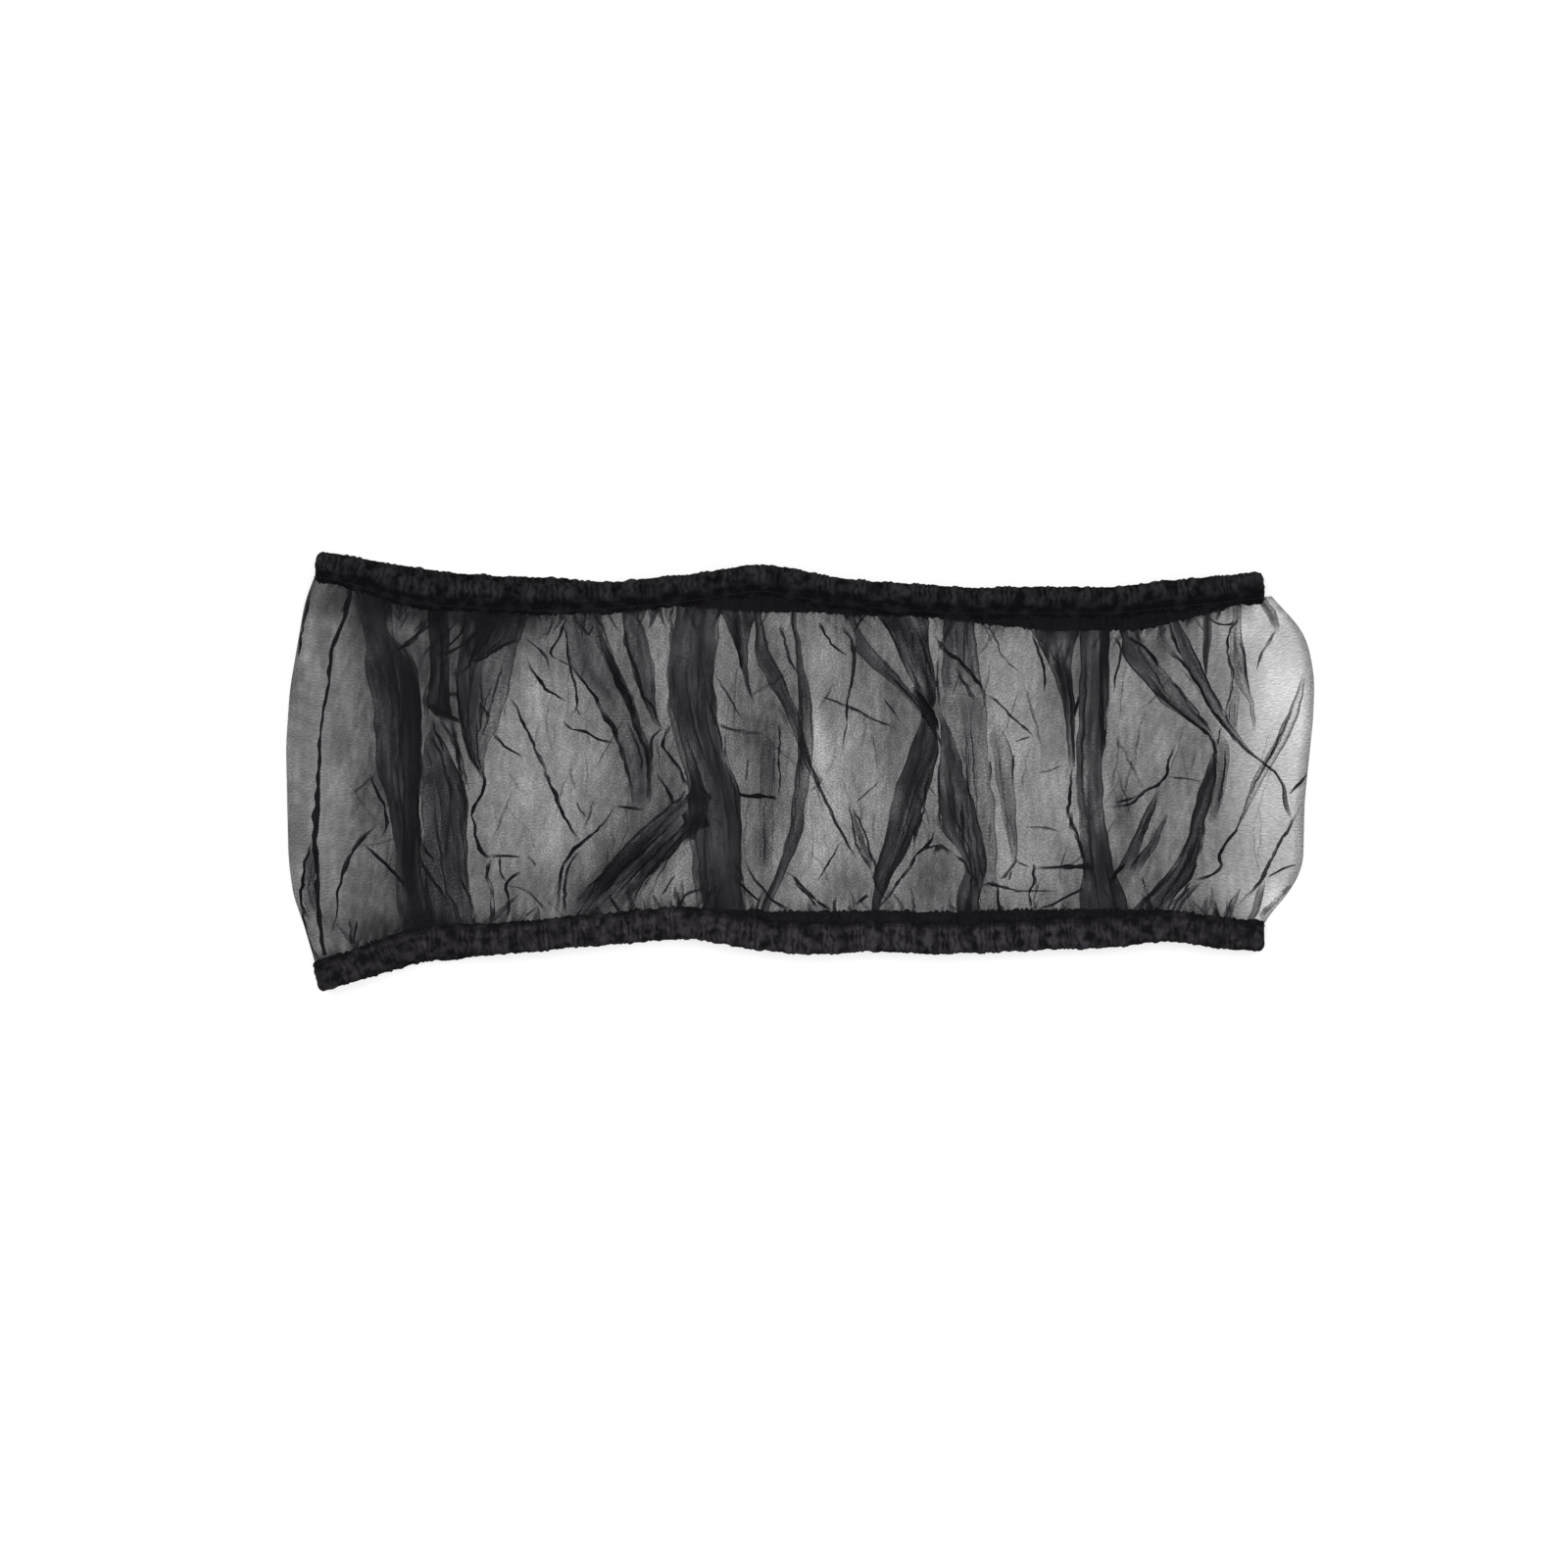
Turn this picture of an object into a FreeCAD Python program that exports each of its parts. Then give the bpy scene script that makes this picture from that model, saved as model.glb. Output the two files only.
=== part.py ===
"""Elastic mesh skirt for a birdcage, laid flat: a sleeve of sheer nylon mesh between two gathered hems.

In use the sleeve is pulled round the cage and both hems grip it, so that seed stays inside. Laid flat, each
hem is a closed loop of a back run on the table and a front run above it, joined by a tight turn at each end.

Units are millimetres. X runs along the hems, +Y points to the top hem and +Z up from the table. The origin is
on the table, under the middle of the skirt.
"""

import FreeCAD
import Part
import math
import os

Vector = FreeCAD.Vector
UP = Vector(0, 0, 1)

# Elastic: a flat knitted strip, its ends lapped and tacked to make a loop.
ELASTIC_WIDTH = 18.0
ELASTIC_THICKNESS = 1.0
LAP_LENGTH = 22.0
LAP_STEP = 8.0  # length over which the upper end climbs onto the lower one
LAP_GAP = 0.1  # between the two lapped ends

# Tack: rows of zigzag stitches that hold the lap.
TACK_ROWS = 3
TACK_ZIGZAGS = 6
TACK_MARGIN = 2.0  # from each edge of the elastic
TACK_SWING = 2.4
TACK_THREAD = 0.9  # width of the stitched line
TACK_HEIGHT = 0.4

# Casing: two gathered plies of the mesh, folded over the elastic and stitched below it.
CASING_PLY = 1.1  # depth of one gathered ply
CASING_EASE = 0.3  # between the elastic and the casing, at each edge
CASING_FACE_EASE = 0.1  # between the tack and the casing
FOLD_BEVEL = 1.5  # the fold over the elastic, as two bevels
HEM_LIP = 2.2  # turned edge below the stitches

# Hem stitching: a thread on the outer face and one on the inner face, each in a groove of the gathers.
THREAD_WIDTH = 0.8
THREAD_HEIGHT = 0.5
THREAD_SINK = 0.1  # below the casing's face
THREAD_EASE = 0.1  # between the thread and its groove
GROOVE_LAND = 0.5  # from the groove to the elastic's channel

# Sleeve and its side seam.
SLEEVE_WALL = 2.0  # depth taken by the loosely folded mesh
SLEEVE_CLEARANCE = 0.3  # between the sleeve or seam and the hem's lip
SIDE_FLATS = 4  # flat faces round each side fold
SEAM_WIDTH = 4.0
SEAM_THICKNESS = 1.2
SEAM_CLEARANCE = 0.1  # below the front wall

# Lay: the plan of every run as the skirt lies. A hem's run is the elastic's middle line.
HEM_LENGTH = 735.0  # from the left turn to the right turn
HEM_SPACING = 280.0  # between the two straight lines that the hems wander about
LOOP_GAP = 6.0  # between the front and back runs of a hem
HEM_ROUND = 0.25  # an arc starts this share of the shorter leg from its corner
SIDE_ROUND = 0.45

# Points of a hem's run: percent of the hem's length from the left, and how far outwards of its straight line.
# The front and back runs share their first two and last two points.
TOP_FRONT_RUN = [
    (0, 23), (2.5, 20), (9, 3), (24, -3), (31, -0.5), (38, 4), (47, 14), (54, 4), (60, -1), (68, -5),
    (86, -4), (97.5, 5), (100, 7),
]
TOP_BACK_RUN = [
    (0, 23), (2.5, 20), (13, 7), (24, 3), (31, -1), (37, 5), (45, 1), (64, -3.5), (72, -10), (80, -15.5),
    (88, -14.5), (97.5, 5), (100, 7),
]
BOTTOM_FRONT_RUN = [
    (0, 23), (3, 16.5), (9, 0), (12, -4), (18, -4), (25, -9.5), (39, -19), (44, -11), (51, -4.5), (58, -7),
    (67, -5), (84, -10), (90.5, -15.5), (97.5, -8.5), (100, -7),
]
BOTTOM_BACK_RUN = [
    (0, 23), (3, 16.5), (10, 2), (24, -8), (39, -17), (48, -14.5), (66, -14.5), (80, -16), (90.5, -15.5),
    (97.5, -8.5), (100, -7),
]
TOP_LAP_AT = 55  # percent of the hem's length, on a straight leg of the back run, where the elastic starts
BOTTOM_LAP_AT = 56

# Points of a side's run: percent of the hem spacing from the top, and how far outwards of the hems' ends.
LEFT_SIDE = [(2, 11), (27, 23), (43, 26), (75, 24), (91, 14)]
RIGHT_SIDE = [(3, 13), (18, 40), (33, 41), (59, 34), (76, 33)]
SEAM_LINE = [(-5, -20), (12, -8), (42, 3), (78, 8), (92, 5), (106, -3)]

# Worked out from the sizes above.
CHANNEL_DEPTH = 2 * (ELASTIC_THICKNESS + TACK_HEIGHT + CASING_FACE_EASE) + LAP_GAP
CASING_THICKNESS = CHANNEL_DEPTH + 2 * CASING_PLY
CHANNEL_HALF_WIDTH = ELASTIC_WIDTH / 2 + CASING_EASE
CASING_OUTER_EDGE = CHANNEL_HALF_WIDTH + CASING_PLY
GROOVE_DEPTH = THREAD_SINK + THREAD_HEIGHT + THREAD_WIDTH / 2 + THREAD_EASE  # its walls slope at 45 degrees
GROOVE_CENTRE = -CHANNEL_HALF_WIDTH - GROOVE_LAND - GROOVE_DEPTH
CASING_INNER_EDGE = GROOVE_CENTRE - GROOVE_DEPTH - HEM_LIP
CASING_IN = LOOP_GAP / 2  # depths are counted outwards from the loop's middle plane
CASING_OUT = CASING_IN + CASING_THICKNESS
CASING_MIDDLE = (CASING_IN + CASING_OUT) / 2
MIDDLE_HEIGHT = CASING_OUT  # the back run lies on the table
HEM_MIDDLE_X = (max(out for _, out in LEFT_SIDE) - max(out for _, out in RIGHT_SIDE)) / 2
TRIM_BEYOND = 3.0  # how far the trimming block passes the casing's own outline


class Place:
    """A point of a run in plan, its heading, and the side and face of the loop that a section is drawn on."""

    def __init__(self, point, heading, side=1, face=1):
        self.point = point
        self.along = Vector(math.cos(heading), math.sin(heading), 0)
        self.across = Vector(-math.sin(heading), math.cos(heading), 0) * side
        self.face = face

    def at(self, across, depth, along=0.0):
        """The point this far across the run and this deep outwards from the loop's middle plane."""
        height = UP * (MIDDLE_HEIGHT + self.face * depth)
        return self.point + self.along * along + self.across * across + height


def hem_points(run, side):
    """A hem run's points in plan."""
    start = HEM_MIDDLE_X - HEM_LENGTH / 2
    return [(start + HEM_LENGTH * along / 100, side * (HEM_SPACING / 2 + out)) for along, out in run]


def side_points(run, end):
    """A side run's points in plan, from the top hem to the bottom hem."""
    return [
        (HEM_MIDDLE_X + end * (HEM_LENGTH / 2 + out), HEM_SPACING * (0.5 - down / 100)) for down, out in run
    ]


def rounded_run(points, share):
    """Straight legs through the points, joined by tangent arcs.

    Each leg is (kind, start, end, heading, centre, turn).
    """
    corners = [Vector(x, y, 0) for x, y in points]
    legs = []
    start = corners[0]
    for before, corner, after in zip(corners, corners[1:], corners[2:]):
        way_in = corner - before
        way_out = after - corner
        reach = share * min(way_in.Length, way_out.Length)
        heading = math.atan2(way_in.y, way_in.x)
        turn = math.atan2(way_in.cross(way_out).z, way_in.dot(way_out))
        way_in.normalize()
        way_out.normalize()
        arc_start = corner - way_in * reach
        arc_end = corner + way_out * reach
        left = Vector(-way_in.y, way_in.x, 0)
        centre = arc_start + left * (reach / math.tan(turn / 2))
        legs.append(("line", start, arc_start, heading, None, 0.0))
        legs.append(("arc", arc_start, arc_end, heading, centre, turn))
        start = arc_end
    last = corners[-1] - corners[-2]
    legs.append(("line", start, corners[-1], math.atan2(last.y, last.x), None, 0.0))
    return legs


def sweep(section, legs, side=1, face=1):
    """Solids of a section carried along the legs: extruded on straight ones, revolved on arcs."""
    solids = []
    for kind, start, end, heading, centre, turn in legs:
        profile = section(Place(start, heading, side, face))
        if kind == "line":
            solids.append(profile.extrude(end - start))
        else:
            solids.append(profile.revolve(centre, UP, math.degrees(turn)))
    return solids


def end_turns(section, legs, side):
    """The two half turns that join the back run to the front run, at the left and right ends of a loop."""
    solids = []
    last_heading = legs[-1][3]
    for point, heading, half_turn in ((legs[0][1], legs[0][3], 180), (legs[-1][2], last_heading, -180)):
        place = Place(point, heading, side, -1)
        axis = Vector(-math.sin(heading), math.cos(heading), 0)
        solids.append(section(place).revolve(place.at(0, 0), axis, half_turn))
    return solids


def join(solids):
    """One clean solid from pieces that share whole faces."""
    return solids[0].multiFuse(solids[1:]).removeSplitter().Solids


def hem_loop(section, front, back, side):
    """A section carried right round a hem's loop."""
    return join(
        sweep(section, back, side, -1) + sweep(section, front, side, 1) + end_turns(section, back, side)
    )


def polygon(points):
    return Part.Face(Part.makePolygon(points + points[:1]))


def block_section(across_low, across_high, depth_low, depth_high):
    """A rectangular section between two widths and two depths."""
    def section(place):
        return polygon([
            place.at(across_low, depth_low), place.at(across_high, depth_low),
            place.at(across_high, depth_high), place.at(across_low, depth_high),
        ])
    return section


def casing_section(place):
    """The casing cut across: a bevelled fold, the elastic's channel, two stitch grooves and a lip."""
    fold = CASING_OUTER_EDGE - FOLD_BEVEL
    groove_near = GROOVE_CENTRE + GROOVE_DEPTH
    groove_far = GROOVE_CENTRE - GROOVE_DEPTH
    outline = [
        (fold, CASING_OUT), (groove_near, CASING_OUT), (GROOVE_CENTRE, CASING_OUT - GROOVE_DEPTH),
        (groove_far, CASING_OUT), (CASING_INNER_EDGE, CASING_OUT), (CASING_INNER_EDGE, CASING_IN),
        (groove_far, CASING_IN), (GROOVE_CENTRE, CASING_IN + GROOVE_DEPTH), (groove_near, CASING_IN),
        (fold, CASING_IN), (CASING_OUTER_EDGE, CASING_IN + FOLD_BEVEL),
        (CASING_OUTER_EDGE, CASING_OUT - FOLD_BEVEL),
    ]
    channel = block_section(
        -CHANNEL_HALF_WIDTH, CHANNEL_HALF_WIDTH,
        CASING_MIDDLE - CHANNEL_DEPTH / 2, CASING_MIDDLE + CHANNEL_DEPTH / 2,
    )
    return polygon([place.at(*point) for point in outline]).cut(channel(place)).Faces[0]


def split_leg(legs, along):
    """The legs before and after this percent of the hem's length, which lies on a straight leg."""
    x = HEM_MIDDLE_X + HEM_LENGTH * (along / 100 - 0.5)
    for i, (kind, start, end, heading, centre, turn) in enumerate(legs):
        if kind == "line" and start.x <= x <= end.x:
            cut = start + (end - start) * ((x - start.x) / (end.x - start.x))
            before = legs[:i] + [("line", start, cut, heading, None, 0.0)]
            after = [("line", cut, end, heading, None, 0.0)] + legs[i + 1:]
            return before, after, cut, heading
    raise ValueError("the lap has to lie on a straight leg")


def elastic(front, back, side, lap_at):
    """The elastic strip, once round the loop, with its last stretch lapped over its first."""
    half = ELASTIC_WIDTH / 2
    outer = (CASING_MIDDLE + LAP_GAP / 2, CASING_MIDDLE + LAP_GAP / 2 + ELASTIC_THICKNESS)
    inner = (CASING_MIDDLE - LAP_GAP / 2 - ELASTIC_THICKNESS, CASING_MIDDLE - LAP_GAP / 2)
    strip = block_section(-half, half, *outer)
    lapped = block_section(-half, half, *inner)
    before, after, lap_point, heading = split_leg(back, lap_at)
    kind, start, end, _, _, _ = before[-1]
    step_start = end - Place(end, heading).along * (LAP_STEP + LAP_GAP)
    before[-1] = (kind, start, step_start, heading, None, 0.0)

    step_place = Place(step_start, heading, side, -1)
    step = polygon([
        step_place.at(-half, outer[0]), step_place.at(-half, outer[1]),
        step_place.at(-half, inner[1], LAP_STEP), step_place.at(-half, inner[0], LAP_STEP),
    ]).extrude(step_place.across * ELASTIC_WIDTH)
    lap_start = Place(step_start + step_place.along * LAP_STEP, heading, side, -1)
    lap = lapped(lap_start).extrude(lap_start.along * (LAP_LENGTH + LAP_GAP))
    return join(
        sweep(strip, after, side, -1) + sweep(strip, front, side, 1) + end_turns(strip, back, side)
        + sweep(strip, before, side, -1) + [step, lap]
    )


def tack(back, side, lap_at):
    """Zigzag rows across both faces of the lap."""
    lap_point, heading = split_leg(back, lap_at)[2:]
    place = Place(lap_point, heading, side, -1)
    face_depth = LAP_GAP / 2 + ELASTIC_THICKNESS
    solids = []
    for row in range(TACK_ROWS):
        middle = LAP_LENGTH * (row + 0.5) / TACK_ROWS
        for depth in (CASING_MIDDLE + face_depth, CASING_MIDDLE - face_depth - TACK_HEIGHT):
            edge = []
            for i in range(TACK_ZIGZAGS + 1):
                across = (ELASTIC_WIDTH - 2 * TACK_MARGIN) * (i / TACK_ZIGZAGS - 0.5)
                swing = TACK_SWING / 2 * (-1) ** i
                edge.append((across, middle + swing))
            near = [place.at(a, depth, s - TACK_THREAD / 2) for a, s in edge]
            far = [place.at(a, depth, s + TACK_THREAD / 2) for a, s in reversed(edge)]
            solids.append(polygon(near + far).extrude(UP * place.face * TACK_HEIGHT))
    return solids


def stitching(front, back, side):
    """The hem's needle thread on the outer face and bobbin thread on the inner face, each one closed loop."""
    left, right = GROOVE_CENTRE - THREAD_WIDTH / 2, GROOVE_CENTRE + THREAD_WIDTH / 2
    outer_top = CASING_OUT - THREAD_SINK
    inner_top = CASING_IN + THREAD_SINK
    needle = block_section(left, right, outer_top - THREAD_HEIGHT, outer_top)
    bobbin = block_section(left, right, inner_top, inner_top + THREAD_HEIGHT)
    return hem_loop(needle, front, back, side) + hem_loop(bobbin, front, back, side)


def trimming_block(front, back, side):
    """The space that a hem takes up, with the clearance below its lip."""
    section = block_section(
        CASING_INNER_EDGE - SLEEVE_CLEARANCE, CASING_OUTER_EDGE + TRIM_BEYOND, 0, CASING_OUT + TRIM_BEYOND
    )
    return hem_loop(section, front, back, side)


def leg_edges(legs):
    """The legs as edges in plan."""
    edges = []
    for kind, start, end, heading, centre, turn in legs:
        if kind == "line":
            edges.append(Part.LineSegment(start, end).toShape())
        else:
            spoke = start - centre
            middle = FreeCAD.Rotation(UP, math.degrees(turn / 2)).multVec(spoke) + centre
            edges.append(Part.Arc(start, middle, end).toShape())
    return edges


def side_fold_section(inner, outer):
    """Half a ring in flat faces, where the sleeve folds from its back wall to its front wall."""
    angles = [math.pi * (i / SIDE_FLATS - 0.5) for i in range(SIDE_FLATS + 1)]

    def section(place):
        outside = [place.at(outer * math.cos(a), outer * math.sin(a)) for a in angles]
        inside = [place.at(inner * math.cos(a), inner * math.sin(a)) for a in reversed(angles)]
        return polygon(outside + inside)
    return section


def sleeve(top, bottom, trims):
    """The sleeve: a front and a back wall joined by a rounded fold down each side, trimmed to the hems."""
    inner = CASING_MIDDLE - SLEEVE_WALL / 2
    outer = CASING_MIDDLE + SLEEVE_WALL / 2
    top_ends = hem_points(TOP_FRONT_RUN, 1)
    bottom_ends = hem_points(BOTTOM_FRONT_RUN, -1)
    left = rounded_run([top_ends[0]] + side_points(LEFT_SIDE, -1) + [bottom_ends[0]], SIDE_ROUND)
    right = rounded_run([top_ends[-1]] + side_points(RIGHT_SIDE, 1) + [bottom_ends[-1]], SIDE_ROUND)
    section = side_fold_section(inner, outer)
    solids = sweep(section, left, side=-1) + sweep(section, right, side=1)
    for wall, low in (("front", MIDDLE_HEIGHT + inner), ("back", MIDDLE_HEIGHT - outer)):
        edges = leg_edges(top[wall]) + leg_edges(right) + leg_edges(bottom[wall]) + leg_edges(left)
        outline = Part.Face(Part.Wire(Part.__sortEdges__(edges)))
        outline.translate(UP * low)
        solids.append(outline.extrude(UP * SLEEVE_WALL))
    whole = solids[0].multiFuse(solids[1:]).removeSplitter()
    return largest(whole.cut(Part.makeCompound(trims)))


def side_seam(trims):
    """The two edges of the mesh sewn together inside the front wall."""
    top = CASING_MIDDLE - SLEEVE_WALL / 2 - SEAM_CLEARANCE
    section = block_section(-SEAM_WIDTH / 2, SEAM_WIDTH / 2, top - SEAM_THICKNESS, top)
    strip = Part.makeCompound(join(sweep(section, rounded_run(side_points(SEAM_LINE, -1), SIDE_ROUND))))
    return largest(strip.cut(Part.makeCompound(trims)))


def largest(shape):
    """The biggest solid that a trim leaves."""
    return [max(shape.Solids, key=lambda solid: solid.Volume)]


def save(name, solids):
    shape = solids[0] if len(solids) == 1 else Part.makeCompound(solids)
    shape.exportStep(os.path.join("parts", name + ".step"))
    print(name, len(solids), round(sum(solid.Volume for solid in solids), 1), shape.isValid())


def hem_runs(front, back, side):
    """The front and back runs of one hem, as legs."""
    return {
        "front": rounded_run(hem_points(front, side), HEM_ROUND),
        "back": rounded_run(hem_points(back, side), HEM_ROUND),
    }


def main():
    os.makedirs("parts", exist_ok=True)
    top = hem_runs(TOP_FRONT_RUN, TOP_BACK_RUN, 1)
    bottom = hem_runs(BOTTOM_FRONT_RUN, BOTTOM_BACK_RUN, -1)
    trims = []
    for name, runs, side, lap_at in (("top", top, 1, TOP_LAP_AT), ("bottom", bottom, -1, BOTTOM_LAP_AT)):
        front, back = runs["front"], runs["back"]
        save(name + "_casing", hem_loop(casing_section, front, back, side))
        save(name + "_elastic", elastic(front, back, side, lap_at))
        save(name + "_elastic_tack", tack(back, side, lap_at))
        save(name + "_hem_stitching", stitching(front, back, side))
        trims += trimming_block(front, back, side)
    save("mesh_sleeve", sleeve(top, bottom, trims))
    save("side_seam", side_seam(trims))


main()
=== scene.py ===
"""Birdcage mesh skirt laid flat, seen from straight above.

Lengths are written in millimetres and turned to metres when a piece is made. X runs along the hems, +Y points
to the top hem and +Z up from the table, as in the CAD.
"""

import math

import bpy
import numpy as np
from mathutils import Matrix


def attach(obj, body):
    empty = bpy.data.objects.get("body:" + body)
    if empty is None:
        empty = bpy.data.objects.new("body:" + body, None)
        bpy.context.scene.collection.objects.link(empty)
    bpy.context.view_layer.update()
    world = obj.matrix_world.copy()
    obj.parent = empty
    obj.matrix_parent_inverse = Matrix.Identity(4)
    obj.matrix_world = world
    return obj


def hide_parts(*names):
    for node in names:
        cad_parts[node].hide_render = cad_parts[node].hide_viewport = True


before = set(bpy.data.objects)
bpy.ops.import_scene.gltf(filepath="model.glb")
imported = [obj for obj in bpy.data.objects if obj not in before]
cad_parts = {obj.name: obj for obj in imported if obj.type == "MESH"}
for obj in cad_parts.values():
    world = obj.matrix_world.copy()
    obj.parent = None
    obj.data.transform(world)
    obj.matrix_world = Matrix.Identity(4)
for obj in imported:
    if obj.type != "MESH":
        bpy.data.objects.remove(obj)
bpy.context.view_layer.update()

MM = 0.001  # metres in a millimetre


# ----------------------------------------------------------------------------------------------------------
# Mesh sleeve: a tube of sheer black nylon net, wider than the relaxed hems are long. The spare width lies in
# pleats that the hems' gathers start, so each wall is one ply with flat folds pressed on it. The walls meet in
# a soft fold down each side, and their top and bottom edges go into the hems.

HEM_LENGTH = 735.0
HEM_MIDDLE_X = -7.5
HEM_SPACING = 280.0
HEM_ENDS = (HEM_MIDDLE_X - HEM_LENGTH / 2, HEM_MIDDLE_X + HEM_LENGTH / 2)
LOOP_MIDDLE = 8.3  # height of the plane between the front and back runs
WALL_DEPTH = 5.65  # of each wall from that plane
CASING_INNER_EDGE = 14.2  # from a hem's run to the edge that the net comes out of
CASING_OVERLAP = 4.0  # how far the net reaches into the casing

# Runs: percent of the hem's length from the left, and how far outwards of its straight line.
RUNS = {
    ("top", "front"): [
        (0, 23), (2.5, 20), (9, 3), (24, -3), (31, -0.5), (38, 4), (47, 14), (54, 4), (60, -1), (68, -5),
        (86, -4), (97.5, 5), (100, 7)],
    ("top", "back"): [
        (0, 23), (2.5, 20), (13, 7), (24, 3), (31, -1), (37, 5), (45, 1), (64, -3.5), (72, -10), (80, -15.5),
        (88, -14.5), (97.5, 5), (100, 7)],
    ("bottom", "front"): [
        (0, 23), (3, 16.5), (9, 0), (12, -4), (18, -4), (25, -9.5), (39, -19), (44, -11), (51, -4.5),
        (58, -7), (67, -5), (84, -10), (90.5, -15.5), (97.5, -8.5), (100, -7)],
    ("bottom", "back"): [
        (0, 23), (3, 16.5), (10, 2), (24, -8), (39, -17), (48, -14.5), (66, -14.5), (80, -16), (90.5, -15.5),
        (97.5, -8.5), (100, -7)],
}
HEM_SIDE = {"top": 1, "bottom": -1}
LAYER_SIDE = {"front": 1, "back": -1}

# Sides: percent of the hems' spacing from the top, and how far outwards of the hems' ends.
SIDES = {
    "left": [(-8, 0), (2, 11), (27, 23), (43, 26), (75, 24), (86, 20), (91, 14), (108, 0)],
    "right": [(-3, 0), (3, 13), (8, 28), (14, 37), (24, 42), (35, 41), (59, 34), (77, 33), (84, 23), (93, 1),
              (98, -3)],
}
SIDE_END = {"left": -1, "right": 1}
SIDE_FOLD = 5.9  # how far the net bulges beyond a side's run
HEM_EASE, SIDE_EASE = 16.0, 14.0  # corners of a run are eased over this length to either side


def eased_line(points, at, window):
    """Height at `at` of the straight legs through the points, averaged over the window to ease the corners.

    Each neighbour's weight falls with the square of its distance; the end legs run on straight.
    """
    across, up = np.array(points, float).T
    offsets = np.linspace(-1, 1, 9)
    near = np.asarray(at, float)[..., None] + window * offsets
    value = np.interp(near, across, up)
    value += np.minimum(near - across[0], 0) * (up[1] - up[0]) / (across[1] - across[0])
    value += np.maximum(near - across[-1], 0) * (up[-1] - up[-2]) / (across[-1] - across[-2])
    weight = 1.1 - offsets ** 2
    return (value * weight).sum(-1) / weight.sum()


def hem_run(hem, layer, x):
    """Plan Y of a hem's run at X."""
    points = [(HEM_ENDS[0] + HEM_LENGTH * along / 100, out) for along, out in RUNS[hem, layer]]
    return HEM_SIDE[hem] * (HEM_SPACING / 2 + eased_line(points, x, HEM_EASE))


def side_run(side, y):
    """Plan X of the sleeve's outer edge at Y."""
    points = [(HEM_SPACING * (down / 100 - 0.5), out) for down, out in SIDES[side]]
    out = eased_line(points, -np.asarray(y, float), SIDE_EASE)
    return HEM_MIDDLE_X + SIDE_END[side] * (HEM_LENGTH / 2 + out + SIDE_FOLD)


NOISE_WAVES = 12


def soft_noise(x, y, size_x, size_y, seed):
    """Smooth noise of about unit height: sine waves of random direction, phase and stretch, added up."""
    draw = np.random.default_rng(seed)
    turns = draw.uniform(0, math.pi, NOISE_WAVES)
    phases = draw.uniform(0, 7, NOISE_WAVES)
    stretches = draw.uniform(0.6, 1.7, NOISE_WAVES)
    total = 0.0
    for turn, phase, stretch in zip(turns, phases, stretches):
        wave = np.cos(turn) * np.asarray(x) / size_x + np.sin(turn) * np.asarray(y) / size_y
        total = total + np.sin(2 * math.pi * wave * stretch + phase)
    return total / 2.45  # about the root of half their number


def rise(t):
    """Smooth step from 0 to 1."""
    t = np.clip(t, 0, 1)
    return t * t * (3 - 2 * t)


def wall_height(layer, x, y):
    """Height of a wall: a quarter round at each side fold, then nearly level with slow swells in the net."""
    side = LAYER_SIDE[layer]
    inwards = np.minimum(x - side_run("left", y), side_run("right", y) - x)
    turned = np.clip(inwards / WALL_DEPTH, 0, 1)
    depth = WALL_DEPTH * np.sqrt(np.clip(1 - (1 - turned) ** 2, 0, 1))
    swell = 0.55 * soft_noise(x, y, 55, 90, 3 + side) + 0.25 * soft_noise(x, y, 17, 60, 13 + side)
    return LOOP_MIDDLE + side * (depth + swell * rise(inwards / 25))


def smooth_through(points, count):
    """Points on a smooth curve through the given ones: cubic pieces whose slopes follow their neighbours."""
    points = np.array(points, float)
    gaps = np.linalg.norm(np.diff(points[:, :2], axis=0), axis=1)
    knots = np.concatenate([[0], np.cumsum(gaps)])
    slopes = np.gradient(points, knots, axis=0)
    at = np.linspace(0, knots[-1], count)
    leg = np.clip(np.searchsorted(knots, at, side="right") - 1, 0, len(knots) - 2)
    width = (knots[leg + 1] - knots[leg])[:, None]
    t = ((at - knots[leg]) / width[:, 0])[:, None]
    return (
        (2 * t ** 3 - 3 * t ** 2 + 1) * points[leg] + (t ** 3 - 2 * t ** 2 + t) * width * slopes[leg]
        + (3 * t ** 2 - 2 * t ** 3) * points[leg + 1] + (t ** 3 - t ** 2) * width * slopes[leg + 1]
    ), at


def grid_faces(rows, columns, first, wrapped=False):
    """Quads of a grid of points, with its last column joined to its first where wrapped."""
    number = first + np.arange(rows * columns).reshape(rows, columns)
    if wrapped:
        number = np.concatenate([number, number[:, :1]], axis=1)
    return np.stack([number[:-1, :-1], number[:-1, 1:], number[1:, 1:], number[1:, :-1]], -1).reshape(-1, 4)


def build_piece(name, points, faces, uv=None, values=None):
    """A smooth mesh object from arrays in millimetres, with cloth coordinates and values at its points."""
    mesh = bpy.data.meshes.new(name)
    mesh.from_pydata((np.asarray(points) * MM).tolist(), [], np.asarray(faces).tolist())
    if uv is not None:
        corners = np.zeros(len(mesh.loops), np.int32)
        mesh.loops.foreach_get("vertex_index", corners)
        cloth = mesh.uv_layers.new(name="cloth")
        cloth.data.foreach_set("uv", np.asarray(uv)[corners].astype(np.float32).ravel())
    for title, value in (values or {}).items():
        attribute = mesh.attributes.new(title, "FLOAT", "POINT")
        attribute.data.foreach_set("value", np.asarray(value, np.float32).ravel())
    mesh.polygons.foreach_set("use_smooth", [True] * len(mesh.polygons))
    mesh.update()
    piece = bpy.data.objects.new(name, mesh)
    bpy.context.scene.collection.objects.link(piece)
    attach(piece, "root")
    return piece


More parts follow.
